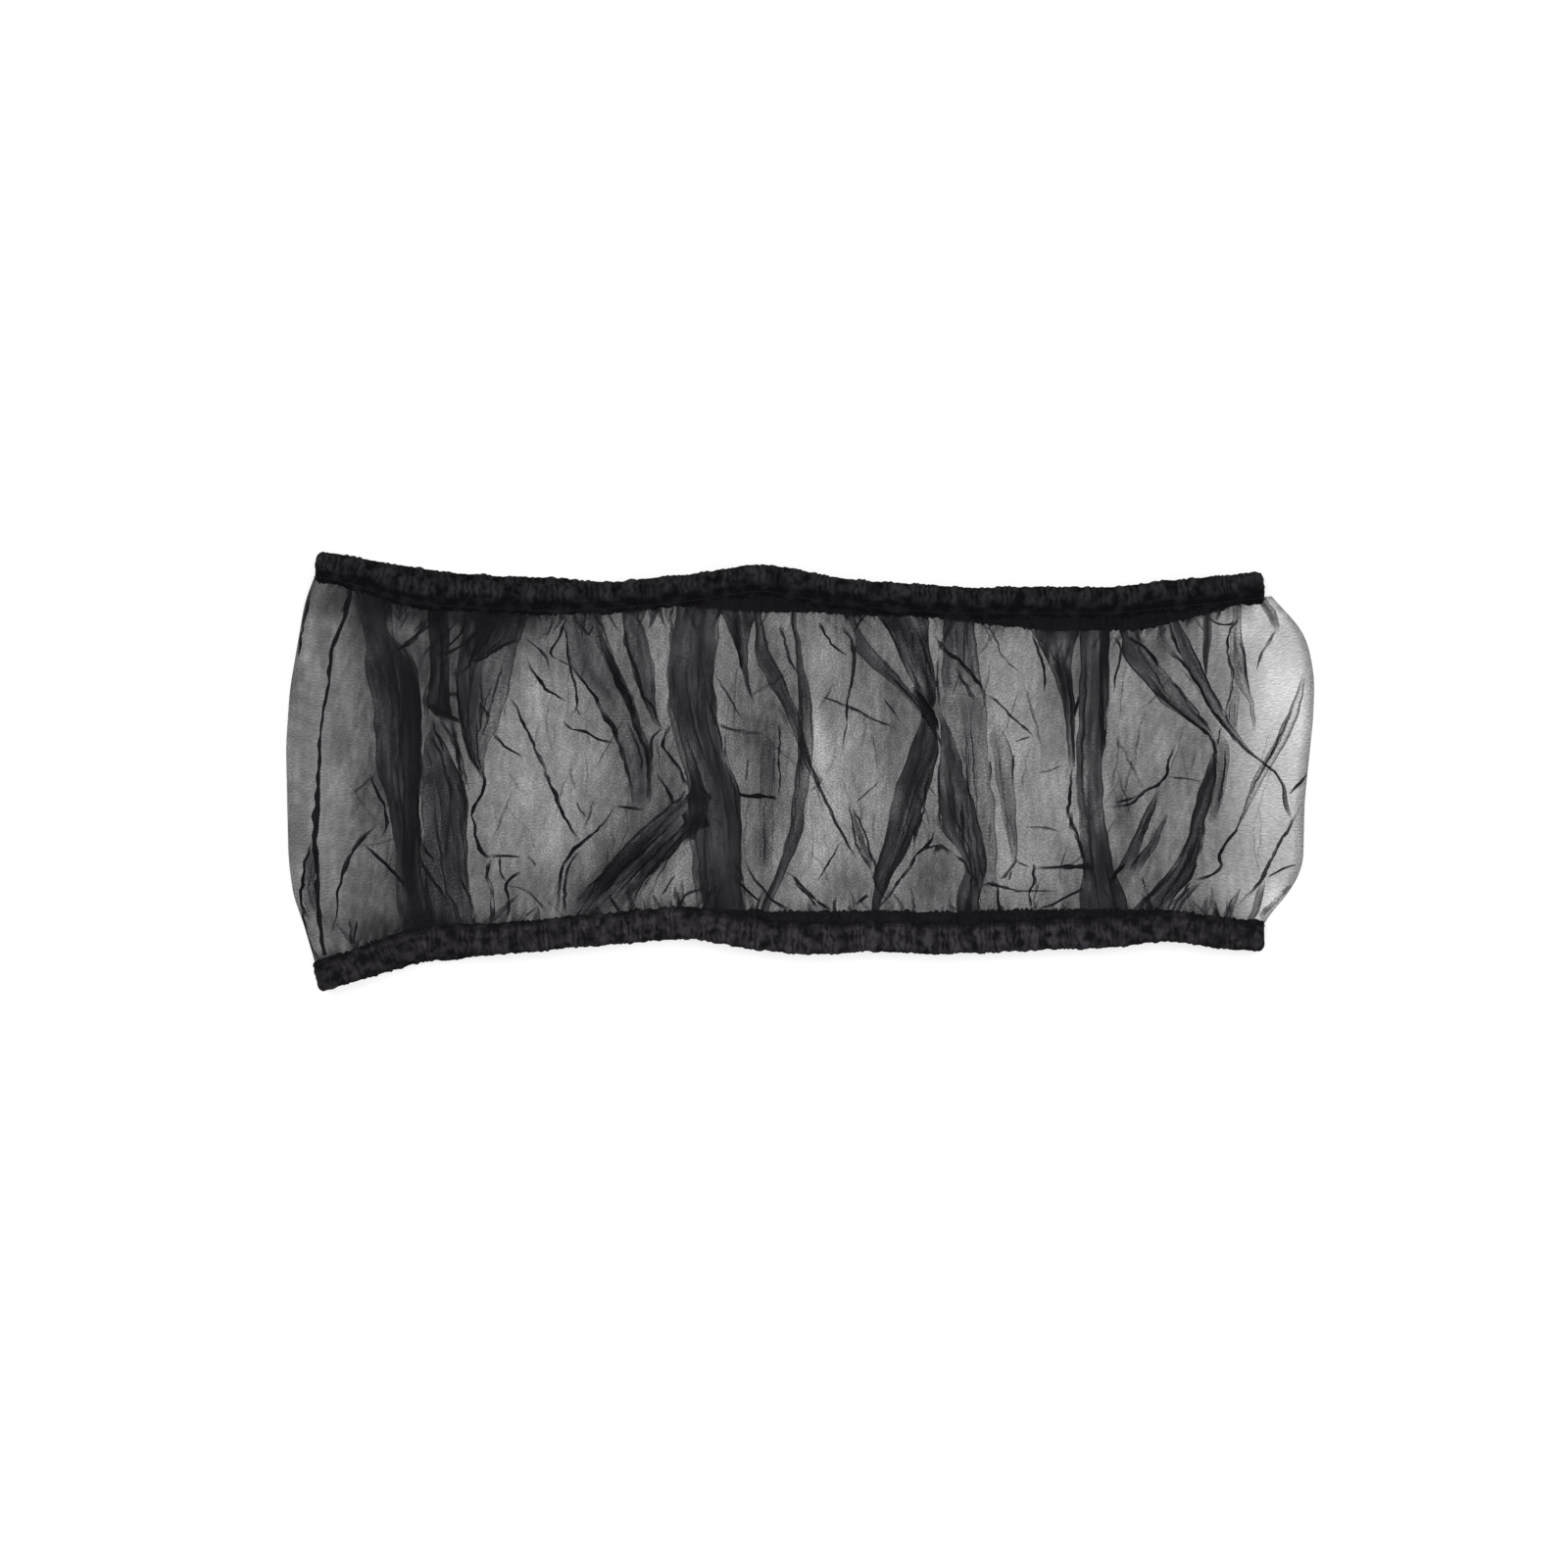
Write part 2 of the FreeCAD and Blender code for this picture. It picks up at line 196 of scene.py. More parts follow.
# Denser and looser places of the net: X, Y, reach in X and Y, and plies more or fewer over both walls.
DENSITY = [
    (15, -20, 14, 90, -0.4), (375, 130, 16, 12, -1.3), (375, -106, 18, 20, -0.9), (130, 55, 14, 14, 0.7),
    (-195, -65, 14, 24, -0.5), (-165, 42, 12, 22, 0.6), (-135, -32, 12, 22, 0.6), (-105, -18, 12, 26, 0.5),
    (-105, 55, 8, 14, -0.5), (-30, 42, 24, 40, 0.45), (45, 105, 12, 14, 0.4), (75, 30, 12, 70, 0.3),
    (285, -55, 10, 20, 0.6), (285, 92, 12, 14, 0.5), (255, -40, 12, 60, 0.4), (-345, 105, 12, 14, 0.8),
    (-345, 50, 8, 24, 0.4), (-315, -106, 12, 16, 0.8), (-375, 100, 14, 30, 0.5), (-375, -118, 12, 12, 0.7),
    (-285, 112, 12, 14, 0.6), (-262, 103, 14, 14, 0.7), (20, 65, 24, 20, 0.3), (-225, 80, 12, 12, 0.4),
    (-296, 88, 14, 22, 0.9), (-372, 131, 10, 8, 1.4), (-318, 108, 12, 10, 0.7), (-345, 20, 8, 70, 0.35),
    (-152, -70, 22, 34, 0.6), (398, 0, 14, 120, -0.25), (255, -20, 10, 16, 0.8), (105, -45, 10, 16, 0.8),
    (-130, 20, 16, 40, 0.4), (135, 5, 10, 20, -0.6), (15, -70, 10, 14, -0.5), (75, -10, 10, 50, 0.3),
    (-225, 104, 14, 12, 0.7), (-160, -84, 26, 30, 0.9), (-108, -72, 14, 26, 1.1), (-132, -100, 22, 16, 0.9),
    (15, 112, 16, 14, 0.5), (45, 108, 16, 14, 0.7), (45, -88, 16, 18, 0.6), (75, 60, 14, 80, 0.3),
    (105, 46, 9, 14, 1.3), (-225, -95, 30, 18, 0.5), (195, -98, 16, 14, 0.7), (285, 100, 14, 12, 0.8),
    (15, 25, 12, 40, -0.5), (375, 10, 26, 130, -0.3), (-255, -45, 12, 40, 0.5), (-345, 116, 12, 14, 1.0),
    (-342, -50, 18, 70, 0.5), (-375, 75, 14, 40, 0.5), (-228, 106, 14, 12, 0.9), (-262, 72, 14, 40, 0.9),
    (-286, 36, 13, 20, 1.3), (-274, 84, 9, 34, 0.9), (270, -86, 26, 20, 1.0), (255, -45, 10, 30, 0.6),
    (-128, -62, 34, 30, 0.8), (-395, -10, 7, 110, 1.1), (-335, 0, 40, 120, 1), (-350, -110, 60, 40, 0.3),
    (-300, 92, 42, 34, 1.4), (-320, 138, 50, 12, 3), (-290, 124, 60, 9, 2.5), (-235, 121, 32, 12, 4),
    (-309, 112, 11, 9, -1), (-275, 30, 26, 45, 1), (-310, -128, 60, 12, 2), (-190, 95, 22, 22, 0.9),
    (-215, -90, 50, 30, 0.6), (-140, 90, 30, 50, 0.6), (-128, 10, 24, 60, 1), (-103, -15, 16, 36, 1.2),
    (-108, -88, 18, 20, -0.8), (-75, -80, 22, 30, 0.5), (-70, 90, 20, 50, 0.4), (-30, 10, 26, 130, 1.4),
    (-15, 45, 14, 30, 0.5), (20, -95, 20, 25, 0.3), (50, 70, 30, 40, 0.5), (80, 50, 25, 45, 0.6),
    (106, 45, 12, 30, 0.6), (106, -82, 16, 30, 1.9), (60, -95, 30, 20, 0.7), (130, 0, 20, 120, 0.3),
    (165, 60, 18, 60, -0.3), (165, -30, 20, 60, -0.2), (205, 60, 25, 50, 0.5), (225, 80, 16, 30, 0.7),
    (235, -90, 26, 24, 1), (285, 106, 12, 12, 0.6), (280, 5, 26, 50, 0.4), (315, 20, 20, 50, 0.6),
    (310, -60, 30, 40, 0.5), (385, 70, 28, 60, -1), (368, -30, 30, 120, -0.7), (350, 112, 16, 14, -1),
    (-330, -118, 22, 14, 1), (-329, -16, 7, 24, 1.1), (-345, -88, 14, 20, 0.4), (-300, 60, 10, 30, 0.4),
    (-318, -78, 8, 30, 0.8),
]
BASE_PLIES = 2.25  # of both walls, away from the patches
LEAST_PLIES = 0.7


def wall_plies(layer, x, y):
    """How many plies one wall counts as at each point.

    It is half the base and the patches, as soft bumps, with mottling. The net lies closer at the turned edge
    of a side fold, thinner just inside it, and closest where the hems' gathers ripple it; these extra plies
    near the hems also stand for painted shade under the gathers.
    """
    plies = np.full(np.shape(x), BASE_PLIES)
    for centre_x, centre_y, reach_x, reach_y, more in DENSITY:
        plies = plies + more * np.exp(-((x - centre_x) / reach_x) ** 2 - ((y - centre_y) / reach_y) ** 2)
    plies = np.maximum(plies, LEAST_PLIES)
    side = LAYER_SIDE[layer]
    mottle = 0.10 * soft_noise(x, y, 24, 70, 31 + side) + 0.09 * soft_noise(x, y, 7, 15, 41 + side)
    inwards = np.minimum(x - side_run("left", y), side_run("right", y) - x)
    turned_edge = 0.9 * np.exp(-(inwards / 1.6) ** 2) - 0.25 * np.exp(-(inwards / 14) ** 2)
    ripples = np.clip(0.5 + 0.5 * soft_noise(x, y * 0.15, 8, 40, 51 + side), 0, 1.5)
    # Extra plies near the hems: the gathers crowd the net there, and they also stand for painted shade under the
    # hems.
    hem_gather_and_shade = 0.0
    for hem, outwards in HEM_SIDE.items():
        from_hem = np.maximum((outwards * hem_run(hem, layer, x) - CASING_INNER_EDGE) - outwards * y, 0)
        crowding = 0.75 + 0.35 * soft_noise(x, 0, 70, 1, 57 + side + outwards)
        close = (0.3 + 1.3 * ripples ** 2) * np.exp(-from_hem / 5)
        far = (0.1 + 0.4 * ripples) * np.exp(-from_hem / 20)
        hem_gather_and_shade = hem_gather_and_shade + crowding * (close + far)
    return plies / 2 * (1 + mottle) + turned_edge + hem_gather_and_shade


def wall_surface(layer, rows, columns):
    """Grid of a wall: columns from side to side, packed into the side folds, and rows from hem to hem."""
    start = np.linspace(-1, 1, columns)
    spread = 0.5 + 0.5 * (0.94 * start + 0.06 * np.sign(start) * (1 - np.sqrt(1 - np.abs(start) ** 12)))
    spread = (spread - spread[0]) / (spread[-1] - spread[0])
    level = np.linspace(0, 1, rows)[:, None]
    x = np.broadcast_to(-400 + 800 * spread, (rows, columns))  # a first guess, mended in each round
    for _ in range(3):
        low = hem_run("bottom", layer, x) + CASING_INNER_EDGE - CASING_OVERLAP
        high = hem_run("top", layer, x) - CASING_INNER_EDGE + CASING_OVERLAP
        y = low + (high - low) * level
        left, right = side_run("left", y), side_run("right", y)
        x = left + (right - left) * spread
    return x, y


# Pleats: extra plies inside, extra plies along the left and right edges (SOFT fades out instead), and points
# of the middle with the half width measured level, from the top hem to the bottom one.
SOFT = None
FRONT_PLEATS = [
    (2.2, SOFT, 0.6, [(-341.5, 127, 13.5), (-337.4, 115, 10.8), (-334, 105, 12.5), (-329, 97, 17),
        (-326.5, 88, 18.5), (-323.7, 72, 19.7), (-320.5, 56, 20.5), (-319, 40, 19.5), (-319.5, 6, 20),
        (-318, -18, 16.5), (-313.8, -34, 13.5), (-312.5, -66, 12.3), (-309, -91, 11.5), (-306, -118, 14)]),
    (3.0, SOFT, 0.9, [(-311, 98, 2), (-310, 88, 5), (-309, 72, 7.5), (-309, 40, 10), (-309, 0, 9),
        (-307.5, -20, 7.5), (-308.5, -40, 7), (-310.5, -60, 6.5), (-310.5, -82, 5.5), (-307, -100, 6),
        (-303, -122, 9)]),
    (2, 0.4, 0.9, [(-290, 36, 1), (-288, 20, 9), (-286, 5, 13.5), (-282, -12, 17.5), (-281, -54, 18),
        (-279.5, -75, 17), (-277, -118, 19)]),
    (1.3, 1, 0.9, [(-241, 124, 24), (-243.5, 104, 22.5), (-246.5, 90, 21.5), (-249.6, 76, 21),
        (-250.6, 61, 20), (-252, 47, 17.6), (-252.1, 35.5, 14.4), (-254, 27.3, 11.7), (-255, 20, 9),
        (-255.2, 12.7, 6.6), (-253.6, 5.5, 4.2), (-251.5, -2, 1.8), (-251, -6, 0.6)]),
    (2, 0.6, SOFT, [(-252, 124, 14), (-256, 100, 12), (-260, 76, 12), (-259, 38, 9), (-259, 22, 6),
        (-256, 8, 3), (-252, -4, 0.8)]),
    (2.6, 0.6, 0.8, [(-240, 122, 20), (-239, 112, 17.5), (-242.5, 104, 19), (-249, 98, 13), (-254, 92, 8),
        (-262, 86, 2)]),
    (1.2, 0.9, 0.5, [(-170.5, 120, 14), (-169, 108, 15), (-165.6, 94, 17), (-161.4, 82, 19), (-154, 69, 16.4),
        (-146.5, 58, 15), (-141.5, 46, 13.5), (-136.3, 32, 12.2), (-131.3, 22, 11.8), (-128.6, 12, 11.8),
        (-127.2, 3, 10), (-125.2, -24, 7.2), (-124, -32, 5)]),
    (2.2, 1, 0.8, [(-133.5, 122, 6), (-130.5, 110, 8.3), (-128, 98, 9.5), (-124.7, 85, 8.8),
        (-121.8, 69, 7.8), (-119.5, 58, 5.5), (-116.5, 48, 2.8), (-111.5, 36, 2), (-108, 32, 0.8)]),
    (1.9, 0.9, 0.6, [(-80.5, 127, 16.5), (-84, 99, 19), (-86.5, 81, 18.5), (-86, 65, 18.2), (-84.6, 53, 19.8),
        (-84, 42, 19.3), (-80, 25, 18.5), (-77.5, 10, 17.5), (-69, -10, 19.5), (-66.5, -45, 20.5),
        (-66, -80, 20), (-62, -112, 18)]),
    (3.4, 1.2, 1.2, [(-48, 124, 13.5), (-47.5, 117, 10.5), (-46.5, 105, 7), (-45, 95, 4.2), (-44.5, 84, 3.2),
        (-43, 76, 2.2), (-40.5, 64, 1.4), (-36.5, 55, 0.8)]),
    (2.4, 1.3, 1, [(-32.5, 120, 2.8), (-30.5, 100, 5), (-27.5, 86, 6.5), (-21, 76, 6.7), (-16, 65, 6.3),
        (-11.2, 55, 4.8), (-7.3, 48, 5), (-2.7, 35, 4.2), (5.4, 10, 3.1), (10.1, -2, 2.4), (17.7, -17.3, 1.3),
        (28.6, -41, 1.2), (39.5, -61, 0.9), (44, -69, 0.6)]),
    (1.9, 1, 1.2, [(48, 104, 4), (52.2, 95, 7.8), (60.5, 86, 7.7), (69.2, 77, 6.8), (79.5, 67, 4.7),
        (88.5, 57, 3.7), (95, 48, 3.3), (99, 42, 1.5)]),
    (2.7, 0.9, 0.8, [(109, 48, 0.6), (111.8, 42, 1.8), (114.5, 35, 3), (116, 29, 4.5), (117.8, 20, 6.5),
        (119, 8, 9), (119, -5, 10), (123, -20, 12.5), (126, -38, 14.5), (129, -50, 14.5), (136, -62, 11),
        (139, -80, 8), (136, -90, 9), (133, -100, 9), (133, -114, 10)]),
    (2.0, 0.8, 1.0, [(126.8, 122, 12), (125.5, 111, 12.3), (127.2, 94.5, 13.2), (127, 78, 14.8),
        (129, 60, 15.5)]),
    (3.5, 0.9, 0.7, [(203, 112, 19), (204, 95, 12.5), (206.5, 84, 9), (210, 66, 6), (212.5, 50, 4.5),
        (214.5, 25, 3), (215.5, 1, 2.2)]),
    (1.2, 0.5, 1.2, [(155, 38, 1), (157.5, 25, 6.5), (161, 10, 7.5), (161.8, 0, 6.8), (163, -15, 6.5),
        (165, -30, 6), (167, -45, 4.8), (168.5, -58, 3.6), (169.5, -68, 2.4), (168.5, -76, 1.4)]),
    (2.5, 1.4, 1.4, [(258, 118, 8), (262, 103, 7), (265, 95, 10), (271, 85, 11.5), (279, 76, 12),
        (286.5, 68, 12), (291.5, 60, 11.5), (297.5, 53, 10.5), (304, 47, 8), (311, 41, 6.5), (317, 36, 5),
        (324, 30, 2.5), (327, 25, 1)]),
    (2.2, 1.8, 0.9, [(295.5, 117, 4.5), (301.5, 104, 5.5), (306, 94, 6), (311.5, 83, 6.3), (315.7, 75, 5.5),
        (320.5, 65, 4.7), (326, 55, 4.8), (331.5, 45, 4.5), (337.5, 36, 3.8), (343.5, 28, 3.5),
        (350, 20, 2.8), (357, 13.5, 2), (364, 8, 1.6), (372, 2, 1.3), (378, -4, 1.2), (382, -12, 1.4),
        (383.5, -22, 2), (386, -33, 1.6), (388.5, -39, 0.8)]),
    (2.4, 1.2, 0.5, [(322, 122, 3.2), (322.5, 112, 3.4), (322, 100, 3.2), (321, 90, 2.2), (320.7, 80, 1.2),
        (320.6, 70, 0.6)]),
    (1.5, 0.5, 1.6, [(345.5, 119, 3.5), (344.5, 105, 5), (346, 95, 6), (347, 85, 6.5), (348.5, 76, 6),
        (350.5, 68, 5), (354, 60, 2.8), (356.5, 52, 1.8), (358, 42, 1.5), (359, 30, 1)]),
    (1.1, 1.5, 1.5, [(398.5, 78, 1), (397, 68, 2), (394.5, 58, 3.2), (391, 48, 4), (387, 38, 4.8),
        (382, 27, 5), (372, 9, 4.5), (367, 1, 4.5), (362, -9, 4.2), (357.5, -19, 3.2), (353, -29, 1.8),
        (348, -40, 1.3)]),
    (2.4, 1.5, 0.8, [(284, -14, 1), (281.5, -22, 1.8), (277.5, -30, 3.5), (273.5, -38, 3.8),
        (267.5, -54, 4.2), (264, -62, 5), (262, -68, 6), (259, -75, 7), (256, -82, 8)]),
    (3, 1, 0.9, [(291.3, -31, 0.6), (288, -38, 1.6), (284.5, -46, 2.2), (281.5, -54, 3), (277, -61, 4),
        (272.5, -67, 4.5), (268, -74, 5), (265, -80, 5)]),
    (3, 0.8, 0.8, [(318, -88, 1.2), (311, -92, 3), (306, -98, 3.5), (301, -105, 3.5), (296, -112, 3.5)]),
    (2.4, 0.8, 0.6, [(-385, -55, 1), (-386, -65, 3), (-387.5, -78, 5), (-388.5, -90, 6.3), (-388.3, -99, 6.3),
        (-386, -108, 5), (-383, -116, 3)]),
]
BACK_PLEATS = [
    (1.9, 0.6, 0.8, [(-338, 131, 12.5), (-333, 103, 13), (-325, 75, 18.5), (-320, 50, 17), (-319, 7, 18),
        (-314, -30, 12), (-311, -55, 11), (-308, -90, 12), (-302, -122, 15)]),
    (4.4, 0.7, 0.7, [(-287, 122, 8.5), (-286, 100, 8), (-286, 66, 8), (-287, 56, 9.5), (-284, 46, 8),
        (-276, 38, 3)]),
    (1.4, 0.5, 0.5, [(-284, 10, 8), (-282, -18, 17), (-281, -54, 17), (-280, -91, 17), (-277, -118, 19)]),
    (1.5, 0.6, 0.5, [(-81, 128, 16.5), (-85, 91, 18), (-85, 60, 18.5), (-81, 35, 17), (-74, 10, 17),
        (-66, -20, 18.5), (-65, -50, 18.5), (-62, -85, 18), (-58, -116, 17)]),
    (3.8, SOFT, SOFT, [(-85, -13, 5), (-84, -20, 13), (-90, -28, 21), (-97, -35, 26), (-105, -45, 25),
        (-115, -56, 23), (-127, -69, 24), (-137, -79, 25), (-148, -90, 26), (-157, -100, 26),
        (-168, -112, 18)]),
    (2.5, 1.5, 1, [(-5, 124, 2.2), (-3.2, 112, 2), (-1.5, 101, 2.2), (0.2, 89, 2.4), (1.5, 78, 3.2),
        (3.2, 66, 4.4), (4.3, 52, 5.2), (4.6, 22, 6), (4, 6, 5.6), (1.5, -12, 5.4), (-2.2, -39, 5.3),
        (-4, -52, 5.4), (-8.6, -64, 4.8), (-13, -76, 4), (-24, -101, 3.5), (-30, -116, 3)]),
    (0.9, 0.4, 0.4, [(-25, 30, 5.5), (-25, 0, 6), (-26, -40, 6), (-27, -80, 5)]),
    (3.8, 0.7, 1, [(82, 121, 20), (86.5, 111, 16), (89.2, 101, 14), (92.4, 90, 12.8), (96.5, 77, 10.6),
        (100.2, 65, 8), (101.5, 52, 5.5), (100.5, 44, 2)]),
    (3.8, 0.7, 1, [(99.5, 46, 2.7), (101, 38, 4.2), (100, 28, 8.4), (99, 18, 11.4), (95, 4, 12.5),
        (91, -9, 13.5), (87.5, -20, 12.5), (84, -33, 13), (79.5, -50, 11.5), (75, -64, 10), (68, -80, 8),
        (62, -100, 4), (58, -116, 3)]),
    (0.9, SOFT, 0.7, [(130, 64, 16), (131, 50, 17), (133, 30, 16), (134, 10, 16), (136, -20, 18),
        (138, -60, 18), (141, -95, 17), (143, -120, 17)]),
    (2.8, 1.2, 0.8, [(241.7, 112, 3.9), (241.7, 60, 3.7), (241.2, 45, 3.4), (241, 32, 2.6), (240.5, 20, 1.6),
        (239.5, 10, 0.7)]),
    (3, 0.8, 1, [(234.5, 112, 11.5), (233, 55, 11), (229.5, 6, 10), (230, -10, 10.5), (232, -40, 10.5),
        (234.5, -60, 11), (237.5, -79, 12.8), (241, -103, 19), (243, -120, 22)]),
    (4.2, 1.4, 0.6, [(329, 14, 2), (327.5, 5, 3.2), (325.5, -5, 4.8), (323, -15, 5.5), (320.5, -25, 6),
        (317.5, -33, 6), (315, -43, 5), (314, -52, 5.5), (311.5, -60, 6.5), (308, -68, 7), (305, -76, 9),
        (301, -84, 11), (295, -90, 11), (290, -96, 11), (284, -102, 12), (278, -110, 14), (276, -118, 15)]),
    (1.5, 0.3, 0.8, [(343.5, 74, 0.8), (345, 64, 3), (344, 55, 4.8), (343, 45, 5.2), (343, 36, 4),
        (345, 28, 2)]),
    (1, 0.8, 0.6, [(333, 30, 2), (335.5, 20, 5), (335, 8, 6), (334, -8, 5), (330, -28, 4), (326, -42, 2)]),
    (1.8, 0.5, 0.9, [(367.5, -85, 1.5), (366, -93, 2.8), (364.5, -101, 3.2), (361, -110, 3.2),
        (358, -118, 3)]),
    (2.2, 0.8, 1, [(366.5, 136, 3.5), (372, 128, 4.6), (376, 120, 3.8), (378.5, 113, 2.4), (379.5, 110, 1)]),
]


HEM_CATCH = 30.0  # a pleat that ends this close to a hem's cloth runs on into it


def into_hems(layer, points):
    """The points, run on straight into a hem where they end close to it, and which ends stay open."""
    points = [tuple(map(float, point)) for point in points]
    is_open = []
    for hem, here, there in (("top", 0, 1), ("bottom", -1, -2)):
        end, before = points[here], points[there]
        edge = hem_run(hem, layer, end[0]) - HEM_SIDE[hem] * (CASING_INNER_EDGE - CASING_OVERLAP)
        short = HEM_SIDE[hem] * (edge - end[1])
        reaches = short < HEM_CATCH and end[1] != before[1]
        if reaches:
            short = max(short, 0.5)
            drift = np.clip((end[0] - before[0]) * (short / max(abs(end[1] - before[1]), 4.0)), -12, 12)
            added = (end[0] + drift, end[1] + HEM_SIDE[hem] * short, end[2])
            points.insert(0 if here == 0 else len(points), added)
        is_open.append(not reaches)
    return points, is_open


# Cross-sections of a fold: each point's share of the thickness, and before it for a crease how far out it is,
# of the half width.
PLEAT_RING = np.array([0, 0.75, 1, 1, 1, 1, 0.75, 0, -0.75, -1, -1, -1, -1, -0.75])
CREASE_RING = np.array([(1, 0), (0.45, 1), (-0.45, 1), (-1, 0), (-0.45, -1), (0.45, -1)]).T
PLEAT_STEP, CREASE_STEP = 4.5, 3.5  # between a fold's cross-sections
FOLD_HALF_THICKNESS = 0.35
FOLD_LIFT = (0.5, 1.0)  # from the wall to the fold's middle
FOLD_OPENNESS = 0.3  # how clearly a fold's holes show, its plies lying across each other
CREASE_PRESS = 0.85  # share of a crease's width left once pressed
PLEAT_SHARE, CREASE_SHARE = 0.5, 0.62  # of a fold's plies, that each of its loop's two sides counts as
EDGE_SHARE = 0.85  # of an edge's extra plies, counted at the very edge
SIDE_MARGIN = 0.9  # least distance of a fold from the sleeve's outer edge


def pleat_reach(half):
    """How far out a pleat's points are, of its half width: close together inside the turned edges."""
    edge = np.ones_like(half)
    near = np.maximum(1 - 0.7 / half, 0.86)  # 0.7 mm inside the edge
    inner = np.maximum(1 - 1.8 / half, 0.6)  # 1.8 mm inside it
    face = np.concatenate([edge, near, inner, inner / 3, -inner / 3, -inner, -near, -edge], 1)
    return np.concatenate([face, face[:, -2:0:-1]], 1)


def fold_loop(layer, plies, edges, points, level, draw):
    """A fold pressed flat on a wall: a closed loop of two plies round a smooth middle line.

    A level fold is a pleat, whose width is measured level; a crease's is measured square to its line. Slow
    streaks run along the fold. It counts as more plies along its turned edges, fades out towards a soft one, and
    fades over its open ends.
    """
    is_open = (True, True)
    if level:
        points, is_open = into_hems(layer, points)
    length = np.linalg.norm(np.diff(np.array(points)[:, :2], axis=0), axis=1).sum()
    line, along = smooth_through(points, int(np.clip(length / (PLEAT_STEP if level else CREASE_STEP), 5, 60)))
    shift = draw.uniform(0, 900, 3)
    seeds = shift.astype(int)
    half = np.maximum(line[:, 2] * (1 + 0.035 * soft_noise(along, 0, 38, 1, seeds[0])), 0.12)[:, None]
    middle = line[:, 0] + 0.35 * soft_noise(along, 0, 20, 1, seeds[1])
    direction = np.gradient(line[:, :2], along, axis=0)
    direction /= np.linalg.norm(direction, axis=1)[:, None]
    if level:
        across = np.array([[1.0, 0.0]])
        reach, ring = pleat_reach(half), PLEAT_RING[None]
        streak_depth, streak_length, fade = 0.12, 70, 14.0
        counted = PLEAT_SHARE * plies
    else:
        across = np.stack([-direction[:, 1], direction[:, 0]], 1)
        half = CREASE_PRESS * half * (1 + 0.2 * soft_noise(along, 0, 13, 1, seeds[2]))[:, None]
        middle = middle + 0.3 * soft_noise(along, 0, 9, 1, seeds[1] + 1)
        reach, ring = CREASE_RING[:1] + 0 * half, CREASE_RING[1:]
        streak_depth, streak_length, fade = 0.28, 22, 0.25 * length
        counted = CREASE_SHARE * plies
    x = middle[:, None] + across[:, :1] * half * reach
    y = line[:, 1][:, None] + across[:, 1:] * half * reach
    x = np.clip(x, side_run("left", y) + SIDE_MARGIN, side_run("right", y) - SIDE_MARGIN)
    z = wall_height(layer, x, y) + draw.uniform(*FOLD_LIFT)
    z = z + np.minimum(FOLD_HALF_THICKNESS, 0.5 * half) * ring
    streaks = 1 + 0.3 * soft_noise(reach * half + shift[2], along[:, None], 6.5, 120, seeds[2])
    streaks = streaks + streak_depth * soft_noise(along[:, None], reach, streak_length, 5, seeds[0] + 1)
    counted = counted * streaks
    for edge, from_edge in ((edges[0], (1 + reach) * half), (edges[1], (1 - reach) * half)):
        if edge is SOFT:
            counted = counted * (0.05 + 0.95 * rise(from_edge / (1.1 * half)))
        else:
            counted = counted + EDGE_SHARE * edge * np.exp(-from_edge ** 2)
    for from_end, end_is_open in ((along, is_open[0]), (along[-1] - along, is_open[1])):
        if end_is_open:
            counted = counted * rise(from_end / fade + 0.04)[:, None]
    cloth = np.stack([half * reach + np.sign(ring) * 0.7 + shift[0], along[:, None] + 0 * x + shift[1]], -1)
    faces = grid_faces(len(line), reach.shape[1], 0, True)
    turning = across[:, 0].mean() * direction[:, 1].mean() - across[:, 1].mean() * direction[:, 0].mean()
    if turning > 0:
        faces = faces[:, ::-1]
    points = np.stack([x, y, z], -1).reshape(-1, 3)
    return points, faces, cloth.reshape(-1, 2), counted.ravel(), np.full(x.size, FOLD_OPENNESS)


